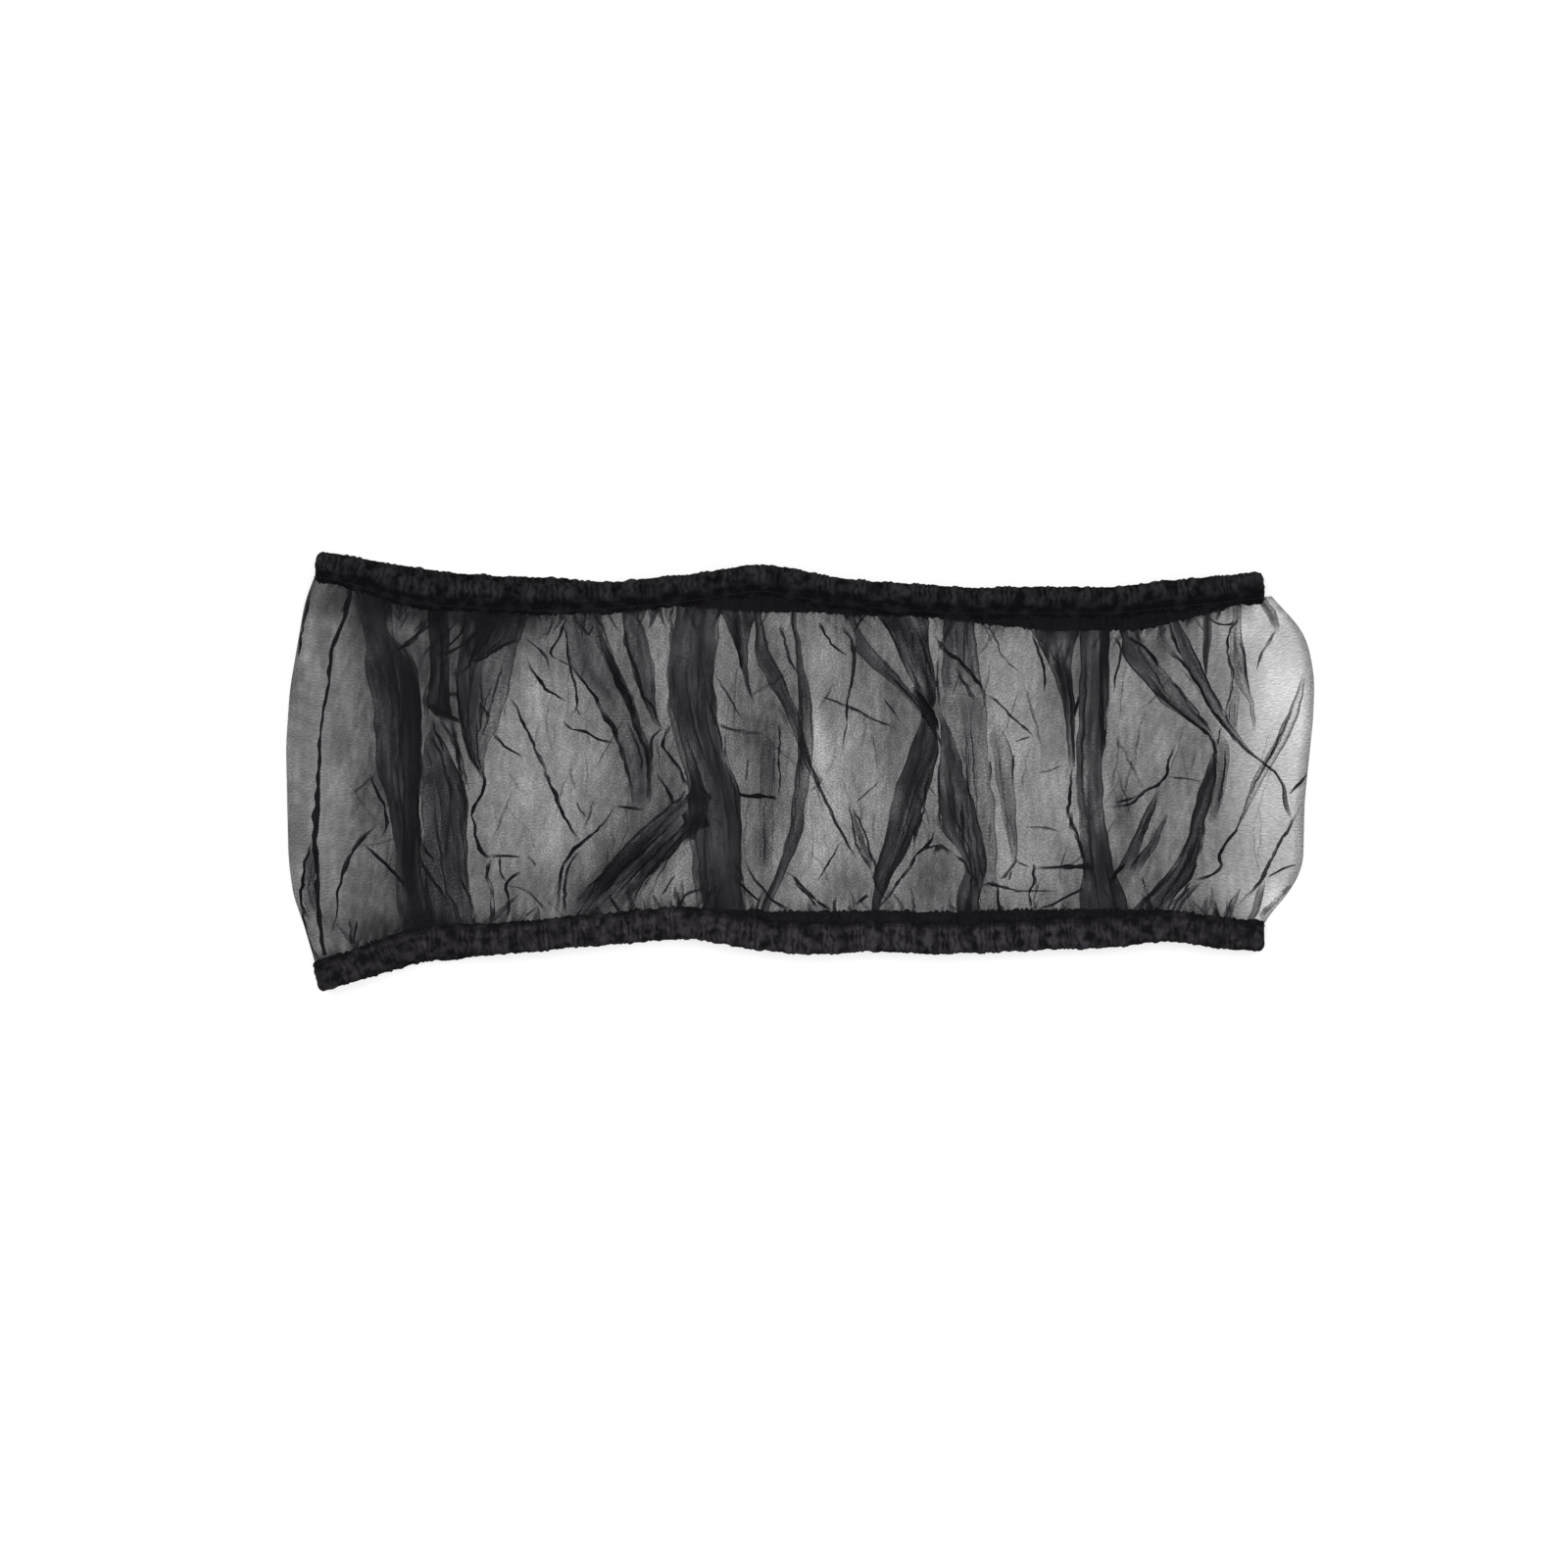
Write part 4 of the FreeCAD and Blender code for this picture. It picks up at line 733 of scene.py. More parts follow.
def stray_creases(count, seed):
    """Faint wrinkles all over a wall, mostly steep, each of four points on a slight bow."""
    draw = np.random.default_rng(seed)
    middle_x, middle_y = draw.uniform(*STRAY_SPAN_X, count), draw.uniform(*STRAY_SPAN_Y, count)
    length = draw.uniform(15, 60, count)
    turn = draw.normal(0, 0.5, count) + math.pi / 2
    bow = length * draw.normal(0, 0.05, count)
    half, plies = draw.uniform(0.5, 1.3, count), draw.uniform(0.4, 1.1, count)
    strays = []
    for t in (-0.5, -0.17, 0.17, 0.5):
        sag = bow * (1 - 4 * t * t)
        strays.append(np.stack([
            middle_x + t * length * np.cos(turn) - sag * np.sin(turn),
            middle_y + t * length * np.sin(turn) + sag * np.cos(turn), half], 1))
    strays = np.stack(strays, 1)
    inside = np.abs(strays[..., 1]).max(1) < STRAY_LIMIT
    return [(p, points.tolist()) for p, points in zip(plies[inside], strays[inside])]


WALL_ROWS, WALL_COLUMNS = 122, 330


def wall(layer, pleats, creases, seed):
    """One wall with its folds, as arrays for one sheet: points, faces, cloth coordinates and values."""
    x, y = wall_surface(layer, WALL_ROWS, WALL_COLUMNS)
    z = wall_height(layer, x, y)
    faces = grid_faces(WALL_ROWS, WALL_COLUMNS, 0)
    if layer == "back":
        faces = faces[:, ::-1]
    parts = [(np.stack([x, y, z], -1).reshape(-1, 3), faces, np.stack([x, y], -1).reshape(-1, 2),
              wall_plies(layer, x, y).ravel(), np.ones(x.size))]
    draw = np.random.default_rng(seed)
    for plies, left_edge, right_edge, points in pleats:
        parts.append(fold_loop(layer, plies, (left_edge, right_edge), points, True, draw))
    for plies, points in creases:
        parts.append(fold_loop(layer, plies, (0, 0), points, False, draw))
    all_points, all_faces, cloth, counted, openness = zip(*parts)
    firsts = np.cumsum([0] + [len(points) for points in all_points[:-1]])
    all_faces = [faces + first for faces, first in zip(all_faces, firsts)]
    values = {"plies": np.concatenate(counted), "openness": np.concatenate(openness)}
    return np.concatenate(all_points), np.concatenate(all_faces), np.concatenate(cloth), values


front = wall(
    "front", FRONT_PLEATS,
    FRONT_CREASES + pressed_lines(FRONT_PLEATS, 4) + gather_lines("top", "front", 70, 5)
    + gather_lines("bottom", "front", 60, 6) + stray_creases(50, 7), 8,
)
back = wall(
    "back", BACK_PLEATS,
    pressed_lines(BACK_PLEATS, 14) + gather_lines("top", "back", 60, 15)
    + gather_lines("bottom", "back", 50, 16) + stray_creases(70, 17), 18,
)
front_wall = build_piece("front_wall", *front)
back_wall = build_piece("back_wall", *back)


def linear(code):
    """An sRGB hex colour as linear values, opaque."""
    channels = [int(code[i:i + 2], 16) / 255 for i in (1, 3, 5)]
    return [c / 12.92 if c <= 0.04045 else ((c + 0.055) / 1.055) ** 2.4 for c in channels] + [1.0]


def add_node(tree, kind, inputs=None, **settings):
    """Adds a node: `inputs` feeds sockets with outputs or values, a setting is an attribute or input value."""
    node = tree.nodes.new(kind)
    for name, value in settings.items():
        if hasattr(node, name):
            setattr(node, name, value)
        else:
            node.inputs[name.replace("_", " ")].default_value = value
    for socket, source in (inputs or {}).items():
        if isinstance(source, bpy.types.NodeSocket):
            tree.links.new(source, node.inputs[socket])
        else:
            node.inputs[socket].default_value = source
    return node


def calculate(tree, operation, *values):
    """What a math node gives for these outputs and numbers."""
    return add_node(tree, "ShaderNodeMath", dict(enumerate(values)), operation=operation).outputs[0]


def flat_noise(tree, place, scale, detail):
    """Noise in the plane of the cloth."""
    settings = {"Scale": scale, "Detail": detail, "noise_dimensions": "2D"}
    return add_node(tree, "ShaderNodeTexNoise", {0: place}, **settings).outputs[0]


def either_way(tree, noise, most):
    """Noise spread to both sides of nothing: its usual 0.3 to 0.7 becomes minus `most` to `most`."""
    return add_node(tree, "ShaderNodeMapRange", {0: noise, 1: 0.3, 2: 0.7, 3: -most, 4: most}).outputs[0]


def two_tone(tree, value, dark, light, start=0.0, end=1.0):
    """A colour that goes from dark to light as the value goes from start to end."""
    ramp = add_node(tree, "ShaderNodeValToRGB", {0: value})
    for element, code, at in zip(ramp.color_ramp.elements, (dark, light), (start, end)):
        element.color = linear(code)
        element.position = at
    return ramp.outputs[0]


def bumps(tree, height, strength, distance):
    """Surface directions for bumps of this height; the distance is in metres."""
    settings = {"Strength": strength, "Distance": distance}
    return add_node(tree, "ShaderNodeBump", {"Height": height}, **settings).outputs[0]


def new_material(name):
    """An empty material and its tree."""
    material = bpy.data.materials.new(name)
    material.use_nodes = True
    material.node_tree.nodes.clear()
    return material, material.node_tree


def surface(tree, shader):
    """Makes the shader the material's surface."""
    add_node(tree, "ShaderNodeOutputMaterial", {0: shader.outputs[0]})


# Nylon net: black warp-knitted filament, matt, a faint violet grey where few plies lie on each other. Each
# ply lets through a little over half of the light, so its tone comes from how many plies lie on each other,
# and its colour is painted darker where they lie thick, as shade between the plies. The real holes are about
# 0.8 mm apart, too fine to show at this size, so they are drawn 1.7 mm apart.
NET_PITCH = 1.7
HOLE_DEPTH = 0.1  # plies from a hole to the thread round it
GRAIN_DEPTH = 0.4  # plies by which the knit is closer or more open from place to place
DRAPE_DEPTH = 0.6  # share by which fine creases along a fold thicken or thin it
DRAPE_SCALE = (0.3, 0.02, 1)  # they are this many to a millimetre across the folds and along them
PLY_CLEARNESS = 0.595  # share of the light that one ply lets through
net, tree = new_material("nylon_net_black")
cloth = add_node(tree, "ShaderNodeUVMap", uv_map="cloth").outputs[0]
split = add_node(tree, "ShaderNodeSeparateXYZ", {0: cloth})
waves = []
for axis in ("X", "Y"):
    angle = calculate(tree, "MULTIPLY", split.outputs[axis], 2 * math.pi / NET_PITCH)
    waves.append(calculate(tree, "SINE", angle))
holes = calculate(tree, "MULTIPLY", *waves)
grain = either_way(tree, flat_noise(tree, cloth, 0.75, 2.0), GRAIN_DEPTH)
lengthened = add_node(tree, "ShaderNodeMapping", {0: cloth}, Scale=DRAPE_SCALE).outputs[0]
drape = either_way(tree, flat_noise(tree, lengthened, 1.0, 3.0), DRAPE_DEPTH)
plies = add_node(tree, "ShaderNodeAttribute", attribute_name="plies").outputs["Fac"]
openness = add_node(tree, "ShaderNodeAttribute", attribute_name="openness").outputs["Fac"]
folded = calculate(tree, "SUBTRACT", 1.1, openness)  # nearly nothing on the wall, and most on the folds
draped = calculate(tree, "MULTIPLY_ADD", plies, calculate(tree, "MULTIPLY", drape, folded), plies)
grained = calculate(tree, "ADD", draped, grain)
counted = calculate(tree, "MULTIPLY_ADD", calculate(tree, "MULTIPLY", holes, openness), HOLE_DEPTH, grained)
clear = calculate(tree, "POWER", PLY_CLEARNESS, counted)
cover = add_node(tree, "ShaderNodeMath", {0: 1.0, 1: clear}, operation="SUBTRACT", use_clamp=True).outputs[0]
# Painted shade between plies: the fibre's colour is darker where 1 to 3.5 plies lie on each other.
ply_shade = add_node(tree, "ShaderNodeMapRange", {0: counted, 1: 1.0, 2: 3.5}).outputs[0]  # of 1 to 3.5 plies
surface(tree, add_node(
    tree, "ShaderNodeBsdfPrincipled",
    {"Base Color": two_tone(tree, ply_shade, "#1d1c21", "#100f12"), "Alpha": cover,
     "Normal": bumps(tree, holes, 0.15, 0.0002)},
    Roughness=0.8, Specular_IOR_Level=0.04,
))
for piece in (front_wall, back_wall):
    piece.data.materials.append(net)
    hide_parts("mesh_sleeve")


# ----------------------------------------------------------------------------------------------------------
# Side seam: where the net's two cut edges are sewn together with an overlocked roll, inside the front wall
# near the left fold. It shows as a narrow dark ridge that twists a little and widens where it is pressed flat.

SEAM_LINE = [
    (-355, 150, 1.4), (-356.5, 135, 2.0), (-360.6, 121, 2.1), (-365.7, 109, 2.0), (-369.4, 97, 1.9),
    (-371.3, 82, 1.5), (-373.4, 65, 1.3), (-376.2, 48, 1.1), (-378.8, 29, 1.2), (-380.2, 8.5, 1.3),
    (-380.5, -10, 1.5), (-381.3, -25, 2.2), (-383, -37, 2.6), (-384, -54, 2.3), (-382, -68, 1.8),
    (-381.5, -85, 1.7), (-381, -102, 1.7), (-379.8, -119, 1.9), (-377.3, -136, 1.7), (-375.9, -146, 1.6),
]
SEAM_STATIONS, SEAM_SIDES = 420, 12
SEAM_DEPTH = 1.1  # of the roll's middle below the front wall
OVERCAST_PITCH = 2.8
SEAM_FLATNESS = 0.42  # the roll's height, of its width


def rolled_seam():
    """A roll of cloth along a smooth line: an oval cross-section with small overcast ridges wound round it."""
    line, along = smooth_through(SEAM_LINE, SEAM_STATIONS)
    middle = line[:, 0] + 0.4 * soft_noise(along, 0, 23, 1, 61)
    angle = 2 * math.pi * np.arange(SEAM_SIDES) / SEAM_SIDES
    ridges = 0.07 * np.sin(2 * math.pi * along[:, None] / OVERCAST_PITCH + angle)
    half = line[:, 2][:, None] * (1 + ridges + 0.16 * soft_noise(along, 0, 19, 1, 62)[:, None])
    x = middle[:, None] + half * np.cos(angle)
    y = line[:, 1][:, None] + 0 * x
    z = wall_height("front", x, y) - SEAM_DEPTH + SEAM_FLATNESS * half * np.sin(angle)
    return np.stack([x, y, z], -1).reshape(-1, 3), grid_faces(SEAM_STATIONS, SEAM_SIDES, 0, True)


side_seam = build_piece("side_seam_roll", *rolled_seam())

# Overlocked net edge: many plies and spun polyester thread, near black and matt.
overlock, tree = new_material("overlocked_net_edge")
place = add_node(tree, "ShaderNodeTexCoord").outputs["Object"]
fuzz = add_node(tree, "ShaderNodeTexNoise", {0: place}, Scale=900.0, Detail=2.0).outputs[0]
surface(tree, add_node(
    tree, "ShaderNodeBsdfPrincipled",
    {"Base Color": two_tone(tree, fuzz, "#0b0a0c", "#1d1b20"), "Normal": bumps(tree, fuzz, 0.4, 0.0003)},
    Roughness=0.85, Specular_IOR_Level=0.12,
))
side_seam.data.materials.append(overlock)
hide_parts("side_seam")


# ----------------------------------------------------------------------------------------------------------
# Hems: the net is gathered, folded over a flat elastic and stitched below it. Pulled in by the elastic, it
# stands in close ruffles across the hem, pinched along the stitches, with a frilled lip on the sleeve's side.

RUN_COLUMNS = 900
TURN_COLUMNS = 26
RUFFLE_PITCH = 6.6
STITCH_LINE = -10.9  # across the hem from its run, negative towards the sleeve
CASING_HALF_DEPTH = 2.85
SETTLE_LENGTH = 14.0  # over which the front and back runs come together before a turn
JOIN_LENGTH = 12.0  # over which the ruffles die away where the path closes
TABLE_GAP = 0.3  # least height of a ruffle over the table
# X, and the strength of the painted highlight on the bottom hem there
BOTTOM_PAINTED_SHEEN = [(-380, 0.4), (-300, 0.55), (-150, 0.8), (50, 1.0), (200, 0.95), (260, 0.55), (350, 0.5)]

# Outline of the casing cut across: across the hem, and depth from the loop's middle plane.
CASING_OUTLINE = [
    (10.6, 5.7), (9.9, 7.4), (7.6, 8.2), (4.0, 8.45), (0.0, 8.5), (-4.0, 8.4), (-7.6, 8.1), (-9.6, 7.5),
    (-10.9, 7.4), (-12.2, 7.3), (-13.6, 7.1), (-14.5, 5.8), (-13.6, 4.5), (-12.2, 4.2), (-10.9, 4.6),
    (-9.6, 3.7), (-7.6, 3.2), (-4.0, 3.0), (0.0, 3.0), (4.0, 3.0), (7.6, 3.2), (9.9, 4.1),
]


def hem_path(hem):
    """A hem's closed path: back run, right turn, front run, left turn.

    Gives each station's plan point, the plan direction across it, the direction of depth, and the length so
    far. Towards its ends each run settles onto the mean of the two, where a turn joins them.
    """
    x = np.linspace(*HEM_ENDS, RUN_COLUMNS)
    runs = []
    for layer in ("back", "front"):
        y = hem_run(hem, layer, x)
        slope = np.gradient(y, x)
        size = np.sqrt(1 + slope ** 2)
        runs.append(np.stack([x, y, 1 / size, slope / size]))
    mean = (runs[0] + runs[1]) / 2
    settle = rise(np.minimum(x - HEM_ENDS[0], HEM_ENDS[1] - x) / SETTLE_LENGTH)
    for run in runs:
        offset = np.where(x < HEM_MIDDLE_X, mean[1, 0] - run[1, 0], mean[1, -1] - run[1, -1])
        run[1] = run[1] + offset * (1 - settle)
    left, right = (np.repeat(end[:, None], TURN_COLUMNS, axis=1) for end in (mean[:, 0], mean[:, -1]))
    x, y, cosine, sine = np.concatenate([runs[0], right, runs[1][:, ::-1], left], axis=1)
    turn = np.linspace(0, math.pi, TURN_COLUMNS + 2)[1:-1]
    sweep = np.concatenate([np.zeros(RUN_COLUMNS), turn, np.full(RUN_COLUMNS, math.pi), math.pi + turn])
    level = np.zeros_like(x)
    point = np.stack([x, y, level], 1)
    across = HEM_SIDE[hem] * np.stack([-sine, cosine, level], 1)
    deep = np.stack([np.sin(sweep) * cosine, np.sin(sweep) * sine, -np.cos(sweep)], 1)
    steps = np.linalg.norm(np.diff(point + WALL_DEPTH * deep, axis=0), axis=1)
    return point, across, deep, np.concatenate([[0], np.cumsum(steps)])


def ruffles(along, across, seed):
    """Gathers of uneven pitch, 0 in a valley to 1 on a crest: a wave along the hem whose phase wanders."""
    phase = along / RUFFLE_PITCH + 0.45 * soft_noise(along, 0, 31, 1, seed)
    phase = phase + 0.16 * soft_noise(along, across, 11, 12, seed + 1)
    crest = np.sqrt(0.5 + 0.5 * np.cos(2 * math.pi * phase))
    return np.clip(crest * (0.8 + 0.25 * soft_noise(along, across, 17, 30, seed + 2)), 0, 1.25)


def painted_highlight(hem, crest, a, x):
    """Painted highlight on a hem: most on crests and across its middle; on the bottom hem it varies by X."""
    if hem == "top":
        return crest * np.clip(1.05 - ((a - 5) / 11) ** 2, 0, 1)
    lit = crest * np.clip(1.1 - ((a + 2) / 13) ** 4, 0, 1) * np.clip((a + 14) / 6, 0, 1)
    return lit * np.interp(x, *zip(*BOTTOM_PAINTED_SHEEN))


def gathered_hem(hem, seed):
    """The casing's outline carried round the hem's path, pushed in and out by its ruffles.

    Ruffles stand highest on the faces' middle and on the lip, are pinched at the stitches, and frill both
    edges. In the formulas `a` is across the hem, `d` the depth and `s` the length along the hem.
    """
    point, across, deep, along = hem_path(hem)
    outline = np.array(CASING_OUTLINE)
    finer = np.stack([outline, (outline + np.roll(outline, -1, 0)) / 2], 1).reshape(-1, 2)
    finer = (np.roll(finer, 1, 0) + 2 * finer + np.roll(finer, -1, 0)) / 4
    a, d, s = finer[None, :, 0], finer[None, :, 1], along[:, None]
    ruffled = rise(np.minimum(s, along[-1] - s) / JOIN_LENGTH)
    crest = ruffles(s, a, seed) * ruffled + 0.5 * (1 - ruffled)
    pinch = 1 - 0.75 * np.exp(-((a - STITCH_LINE) / 1.3) ** 2)
    swell = 0.25 * soft_noise(s, a, 45, 40, seed + 5)
    d_out = d + (d - WALL_DEPTH) / CASING_HALF_DEPTH * pinch * (1.15 * (crest - 0.55) + swell)
    edge_frill = np.clip((a - 4) / 6, 0, 1) ** 2 * 0.9 * (crest - 0.9)
    lip_frill = np.clip((-10.5 - a) / 4, 0, 1) * 2.2 * (crest - 0.4)
    tufts = np.clip(soft_noise(s, 0 * a, 11, 1, seed + 8), -0.3, 1.6)
    wander = 0.35 * soft_noise(s, 0 * a, 60, 1, seed + 7) + 0.4 * np.clip((a - 2) / 8, 0, 1) * tufts
    plan_x = (point[:, None] + deep[:, None] * d[..., None])[..., 0]
    beyond = np.maximum(np.maximum(HEM_ENDS[0] - plan_x, plan_x - HEM_ENDS[1]), 0)
    narrowed = 1 - 0.3 * (beyond / (WALL_DEPTH + CASING_HALF_DEPTH)) ** 3
    a_out = (a + (edge_frill - lip_frill) + wander * ruffled) * narrowed
    points = point[:, None] + across[:, None] * a_out[..., None] + deep[:, None] * d_out[..., None]
    points[..., 2] = np.maximum(points[..., 2] + LOOP_MIDDLE, TABLE_GAP)
    stations, around = a_out.shape
    last, first = (stations - 1) * around + np.arange(around), np.arange(around)
    closing = np.stack([last, np.roll(last, -1), np.roll(first, -1), first], 1)
    faces = np.concatenate([grid_faces(stations, around, 0, True), closing])
    if HEM_SIDE[hem] > 0:
        faces = faces[:, ::-1]
    cloth = np.stack([s + 0 * a, 1.6 * a + 0 * s], -1).reshape(-1, 2)
    # A painted highlight on the ruffle crests, kept as the points' 'crest' values.
    lit = painted_highlight(hem, crest, a, points[..., 0])
    return points.reshape(-1, 3), faces, cloth, {"crest": lit.ravel()}


# Gathered net: the same nylon, now so many plies deep that nothing shows through. Valleys are black, and
# crests carry a painted dull violet grey highlight; the bottom hem's copy is painted lighter, with more of it.
STRAND_SCALE = (0.42, 0.16, 1)  # strands to a millimetre, along the hem and across it
BLOTCH_SCALE, BLOTCH_DEPTH = 0.085, 0.8
HEM_TONES = (0.38, 0.98)  # of crests times strands plus blotches: where the tone starts and stops rising
# Lit and shaded copies of one net: the bottom hem's colours are painted lighter than the top's.
for hem, seed, valley, lit in (("top", 70, "#070608", "#2a292c"), ("bottom", 90, "#0e0d0f", "#39373c")):
    piece = build_piece(f"{hem}_hem", *gathered_hem(hem, seed))
    gathered, tree = new_material(f"gathered_nylon_net_{hem}")
    # The 'crest' attribute is the painted highlight on the ruffles, lifting the tone towards the lit colour.
    crest = add_node(tree, "ShaderNodeAttribute", attribute_name="crest").outputs["Fac"]
    cloth = add_node(tree, "ShaderNodeUVMap", uv_map="cloth").outputs[0]
    stretched = add_node(tree, "ShaderNodeMapping", {0: cloth}, Scale=STRAND_SCALE).outputs[0]
    strands = flat_noise(tree, stretched, 1.0, 3.0)
    blotches = flat_noise(tree, cloth, BLOTCH_SCALE, 3.0)
    mixed = calculate(tree, "MULTIPLY", crest, strands)
    mixed = calculate(tree, "MULTIPLY_ADD", blotches, BLOTCH_DEPTH, mixed)
    surface(tree, add_node(
        tree, "ShaderNodeBsdfPrincipled",
        {"Base Color": two_tone(tree, mixed, valley, lit, *HEM_TONES),
         "Normal": bumps(tree, strands, 0.5, 0.0006)},
        Roughness=0.85, Specular_IOR_Level=0.06,
    ))
    piece.data.materials.append(gathered)
    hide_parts(f"{hem}_casing")


# ----------------------------------------------------------------------------------------------------------
# Hem stitching: a straight lockstitch of black polyester thread through both plies of the casing, in the
# pinch between the elastic and the lip. Stitches lie 3 mm apart on both faces and dip into the cloth.

STITCH_PITCH = 3.0
STITCH_LENGTH = 2.5
STITCH_WIDTH = 0.8
STITCH_BOW = 0.35
STITCH_RINGS, STITCH_SIDES = 5, 6
STITCHED_FACES = [(7.45, 1), (4.5, -1)]  # depth of the casing's faces at the pinch, and the way each looks


def stitch_row(hem):
    """One short thread per stitch: a six-sided spindle, bowed outwards, set along the pinch of both faces."""
    point, across, deep, along = hem_path(hem)
    at = np.arange(STITCH_PITCH, along[-1] - STITCH_PITCH, STITCH_PITCH)
    centre, side, out = (
        np.stack([np.interp(at, along, axis) for axis in table.T], 1) for table in (point, across, deep)
    )
    side /= np.linalg.norm(side, axis=1)[:, None]
    out /= np.linalg.norm(out, axis=1)[:, None]
    forward = np.cross(side, out)
    t = np.linspace(-1, 1, STITCH_RINGS)[:, None]
    angle = 2 * math.pi * np.arange(STITCH_SIDES)[None] / STITCH_SIDES
    girth = STITCH_WIDTH / 2 * np.sqrt(1.02 - t ** 2)
    spindle = np.stack([t * STITCH_LENGTH / 2 + 0 * angle, girth * np.cos(angle), girth * np.sin(angle)], -1)
    spindle = spindle.reshape(-1, 3)
    bow = STITCH_BOW * (1 - (spindle[:, 0] / (STITCH_LENGTH / 2)) ** 2)
    size = len(spindle)
    cell = grid_faces(STITCH_RINGS, STITCH_SIDES, 0, True)
    rows, faces = [], []
    for face_depth, sign in STITCHED_FACES:
        shape = (
            forward[:, None] * spindle[None, :, :1] + side[:, None] * (STITCH_LINE + spindle[None, :, 1:2])
            + out[:, None] * (face_depth + sign * bow[None, :, None] + spindle[None, :, 2:3])
        )
        firsts = size * (len(rows) * len(at) + np.arange(len(at)))
        rows.append((centre[:, None] + shape).reshape(-1, 3))
        faces.append((cell[None] + firsts[:, None, None]).reshape(-1, 4))
    points = np.concatenate(rows)
    points[:, 2] += LOOP_MIDDLE
    return points, np.concatenate(faces)


# Spun polyester sewing thread: black, slightly shinier than the net.
thread, tree = new_material("polyester_sewing_thread")
place = add_node(tree, "ShaderNodeTexCoord").outputs["Object"]
twist = add_node(tree, "ShaderNodeTexNoise", {0: place}, Scale=2200.0, Detail=1.0).outputs[0]
surface(tree, add_node(
    tree, "ShaderNodeBsdfPrincipled", {"Base Color": two_tone(tree, twist, "#0a090b", "#201e23")},
    Roughness=0.6, Specular_IOR_Level=0.15,
))
for hem in HEM_SIDE:
    piece = build_piece(f"{hem}_hem_stitches", *stitch_row(hem))
    piece.data.materials.append(thread)
    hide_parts(f"{hem}_hem_stitching")


# ----------------------------------------------------------------------------------------------------------
# Elastics and tacks: a knitted elastic strip lapped and zigzagged into a loop inside each casing. Both are
# whole in the CAD, so its solids stay and only take their finish.

# Knitted elastic: black polyester over rubber cords, with ribs along its length about 3 mm apart.
RIB_PITCH = 3.0
RIB_SCALE = math.pi / (10 * RIB_PITCH * MM)  # of a wave texture whose bands are this far apart
knitted, tree = new_material("knitted_elastic_black")
place = add_node(tree, "ShaderNodeTexCoord").outputs["Object"]
ribs = add_node(tree, "ShaderNodeTexWave", {0: place}, bands_direction="Y", Scale=RIB_SCALE).outputs["Fac"]
surface(tree, add_node(
    tree, "ShaderNodeBsdfPrincipled",
    {"Base Color": two_tone(tree, ribs, "#0d0c0e", "#232126"), "Normal": bumps(tree, ribs, 0.5, 0.0003)},
    Roughness=0.8, Specular_IOR_Level=0.15,
))
for name, finish in (("elastic", knitted), ("elastic_tack", thread)):
    for hem in HEM_SIDE:
        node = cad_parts[f"{hem}_{name}"]
        for index in range(len(node.material_slots)):
            node.material_slots[index].material = finish
        if not node.material_slots:
            node.data.materials.append(finish)


# ----------------------------------------------------------------------------------------------------------
# Table, light and camera: a white table under three broad soft lamps, seen from straight above. The table and
# the surroundings look whiter to the camera than the light that they give the skirt.

TABLE_HALF = 4.5  # metres
floor_mesh = bpy.data.meshes.new("table_top")
corners = [(x * TABLE_HALF, y * TABLE_HALF, 0.0) for x, y in ((-1, -1), (1, -1), (1, 1), (-1, 1))]
floor_mesh.from_pydata(corners, [], [(0, 1, 2, 3)])
table_top = bpy.data.objects.new("table_top", floor_mesh)
bpy.context.scene.collection.objects.link(table_top)

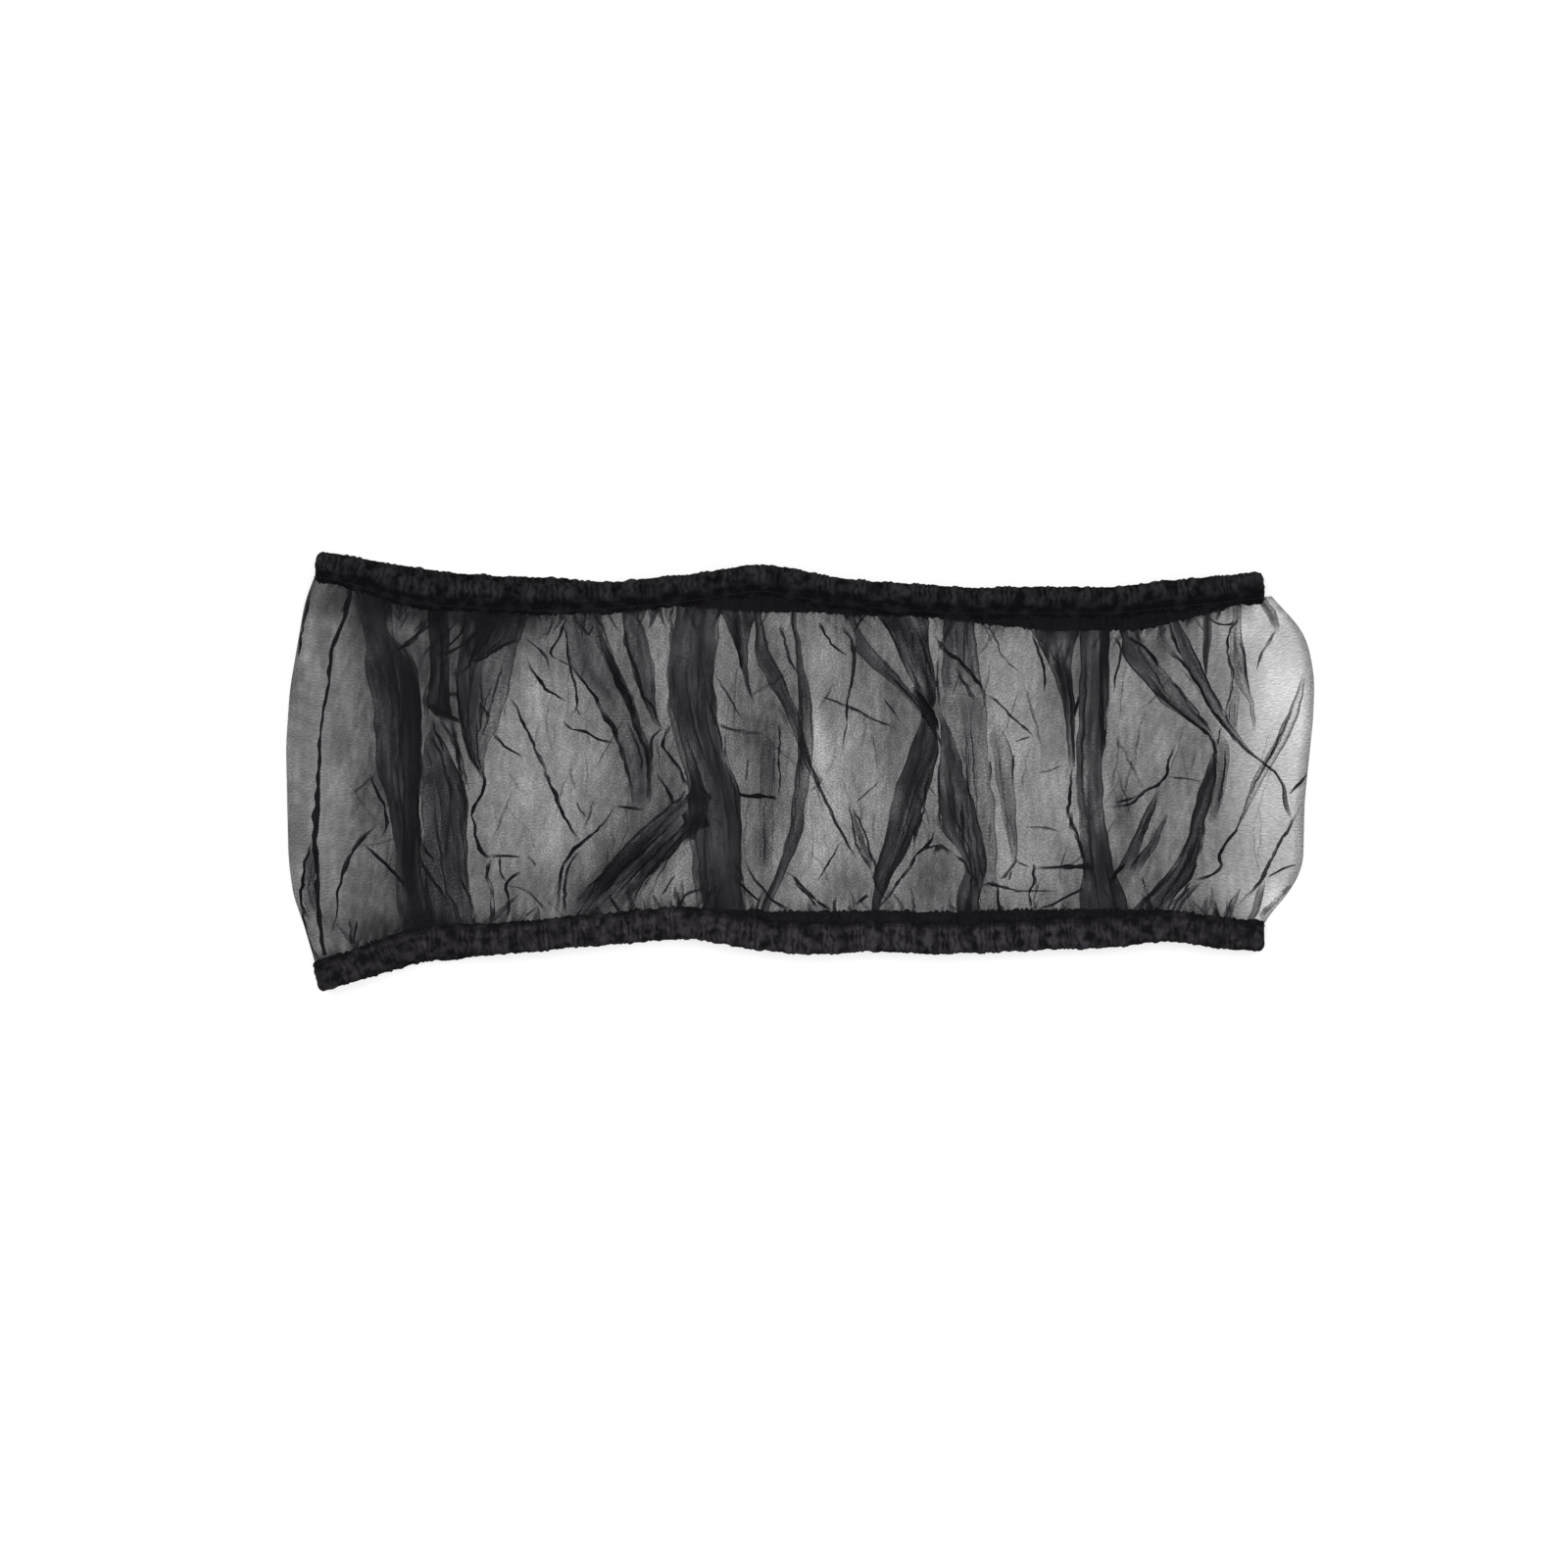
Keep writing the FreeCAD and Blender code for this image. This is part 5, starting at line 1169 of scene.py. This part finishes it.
# White laminate: it looks white to the camera and in reflections, and still takes the skirt's shadow.
LAMINATE_GLOW = 0.62
laminate, tree = new_material("white_laminate")
path = add_node(tree, "ShaderNodeLightPath")
seen = calculate(tree, "MAXIMUM", path.outputs["Is Camera Ray"], path.outputs["Is Glossy Ray"])
seen = calculate(tree, "MAXIMUM", seen, path.outputs["Is Transmission Ray"])
glow_strength = calculate(tree, "MULTIPLY", seen, LAMINATE_GLOW)
glow = add_node(tree, "ShaderNodeEmission", {"Strength": glow_strength}, Color=(1, 1, 1, 1))
matt = add_node(tree, "ShaderNodeBsdfDiffuse", Color=linear("#b4b4b4"))
surface(tree, add_node(tree, "ShaderNodeAddShader", {0: glow.outputs[0], 1: matt.outputs[0]}))
floor_mesh.materials.append(laminate)

# Surroundings: white to the camera, and a weaker even light on everything else.
ROOM_LIGHT = 0.45
world = bpy.data.worlds.new("studio")
world.use_nodes = True
tree = world.node_tree
tree.nodes.clear()
to_camera = add_node(tree, "ShaderNodeLightPath").outputs["Is Camera Ray"]
strength = calculate(tree, "MULTIPLY_ADD", to_camera, 1 - ROOM_LIGHT, ROOM_LIGHT)
backdrop = add_node(tree, "ShaderNodeBackground", {"Strength": strength}, Color=(1, 1, 1, 1))
add_node(tree, "ShaderNodeOutputWorld", {0: backdrop.outputs[0]})
bpy.context.scene.world = world

LAMP_HEIGHT = 1900.0
LAMPS = [  # name, X, Y, size and watts
    ("window_left", -1500, 900, 1600, 26), ("window_right", 1500, 700, 1600, 22),
    ("fill_near", 0, -1700, 1800, 20),
]
for name, x, y, size, watts in LAMPS:
    lamp = bpy.data.lights.new(name, "AREA")
    lamp.size = size * MM
    lamp.energy = watts
    lamp_object = bpy.data.objects.new(name, lamp)
    lamp_object.location = (x * MM, y * MM, LAMP_HEIGHT * MM)
    aim = math.hypot(x, y)
    lamp_object.rotation_euler = (math.atan2(aim, LAMP_HEIGHT), 0, math.atan2(x, -y))
    bpy.context.scene.collection.objects.link(lamp_object)

SENSOR_WIDTH = 36.0
VIEW_CENTRE = (-12.4, -10.5)
VIEW_WIDTH = 1242.0  # of table across the picture
CAMERA_HEIGHT = 3000.0
camera_data = bpy.data.cameras.new("camera")
camera_data.sensor_width = SENSOR_WIDTH
camera_data.lens = SENSOR_WIDTH * CAMERA_HEIGHT / VIEW_WIDTH
camera = bpy.data.objects.new("camera", camera_data)
camera.location = (VIEW_CENTRE[0] * MM, VIEW_CENTRE[1] * MM, (CAMERA_HEIGHT + LOOP_MIDDLE) * MM)
bpy.context.scene.collection.objects.link(camera)
bpy.context.scene.camera = camera
bpy.context.scene.view_settings.view_transform = "Standard"
bpy.context.scene.cycles.transparent_max_bounces = 48  # a line of sight may pass many plies
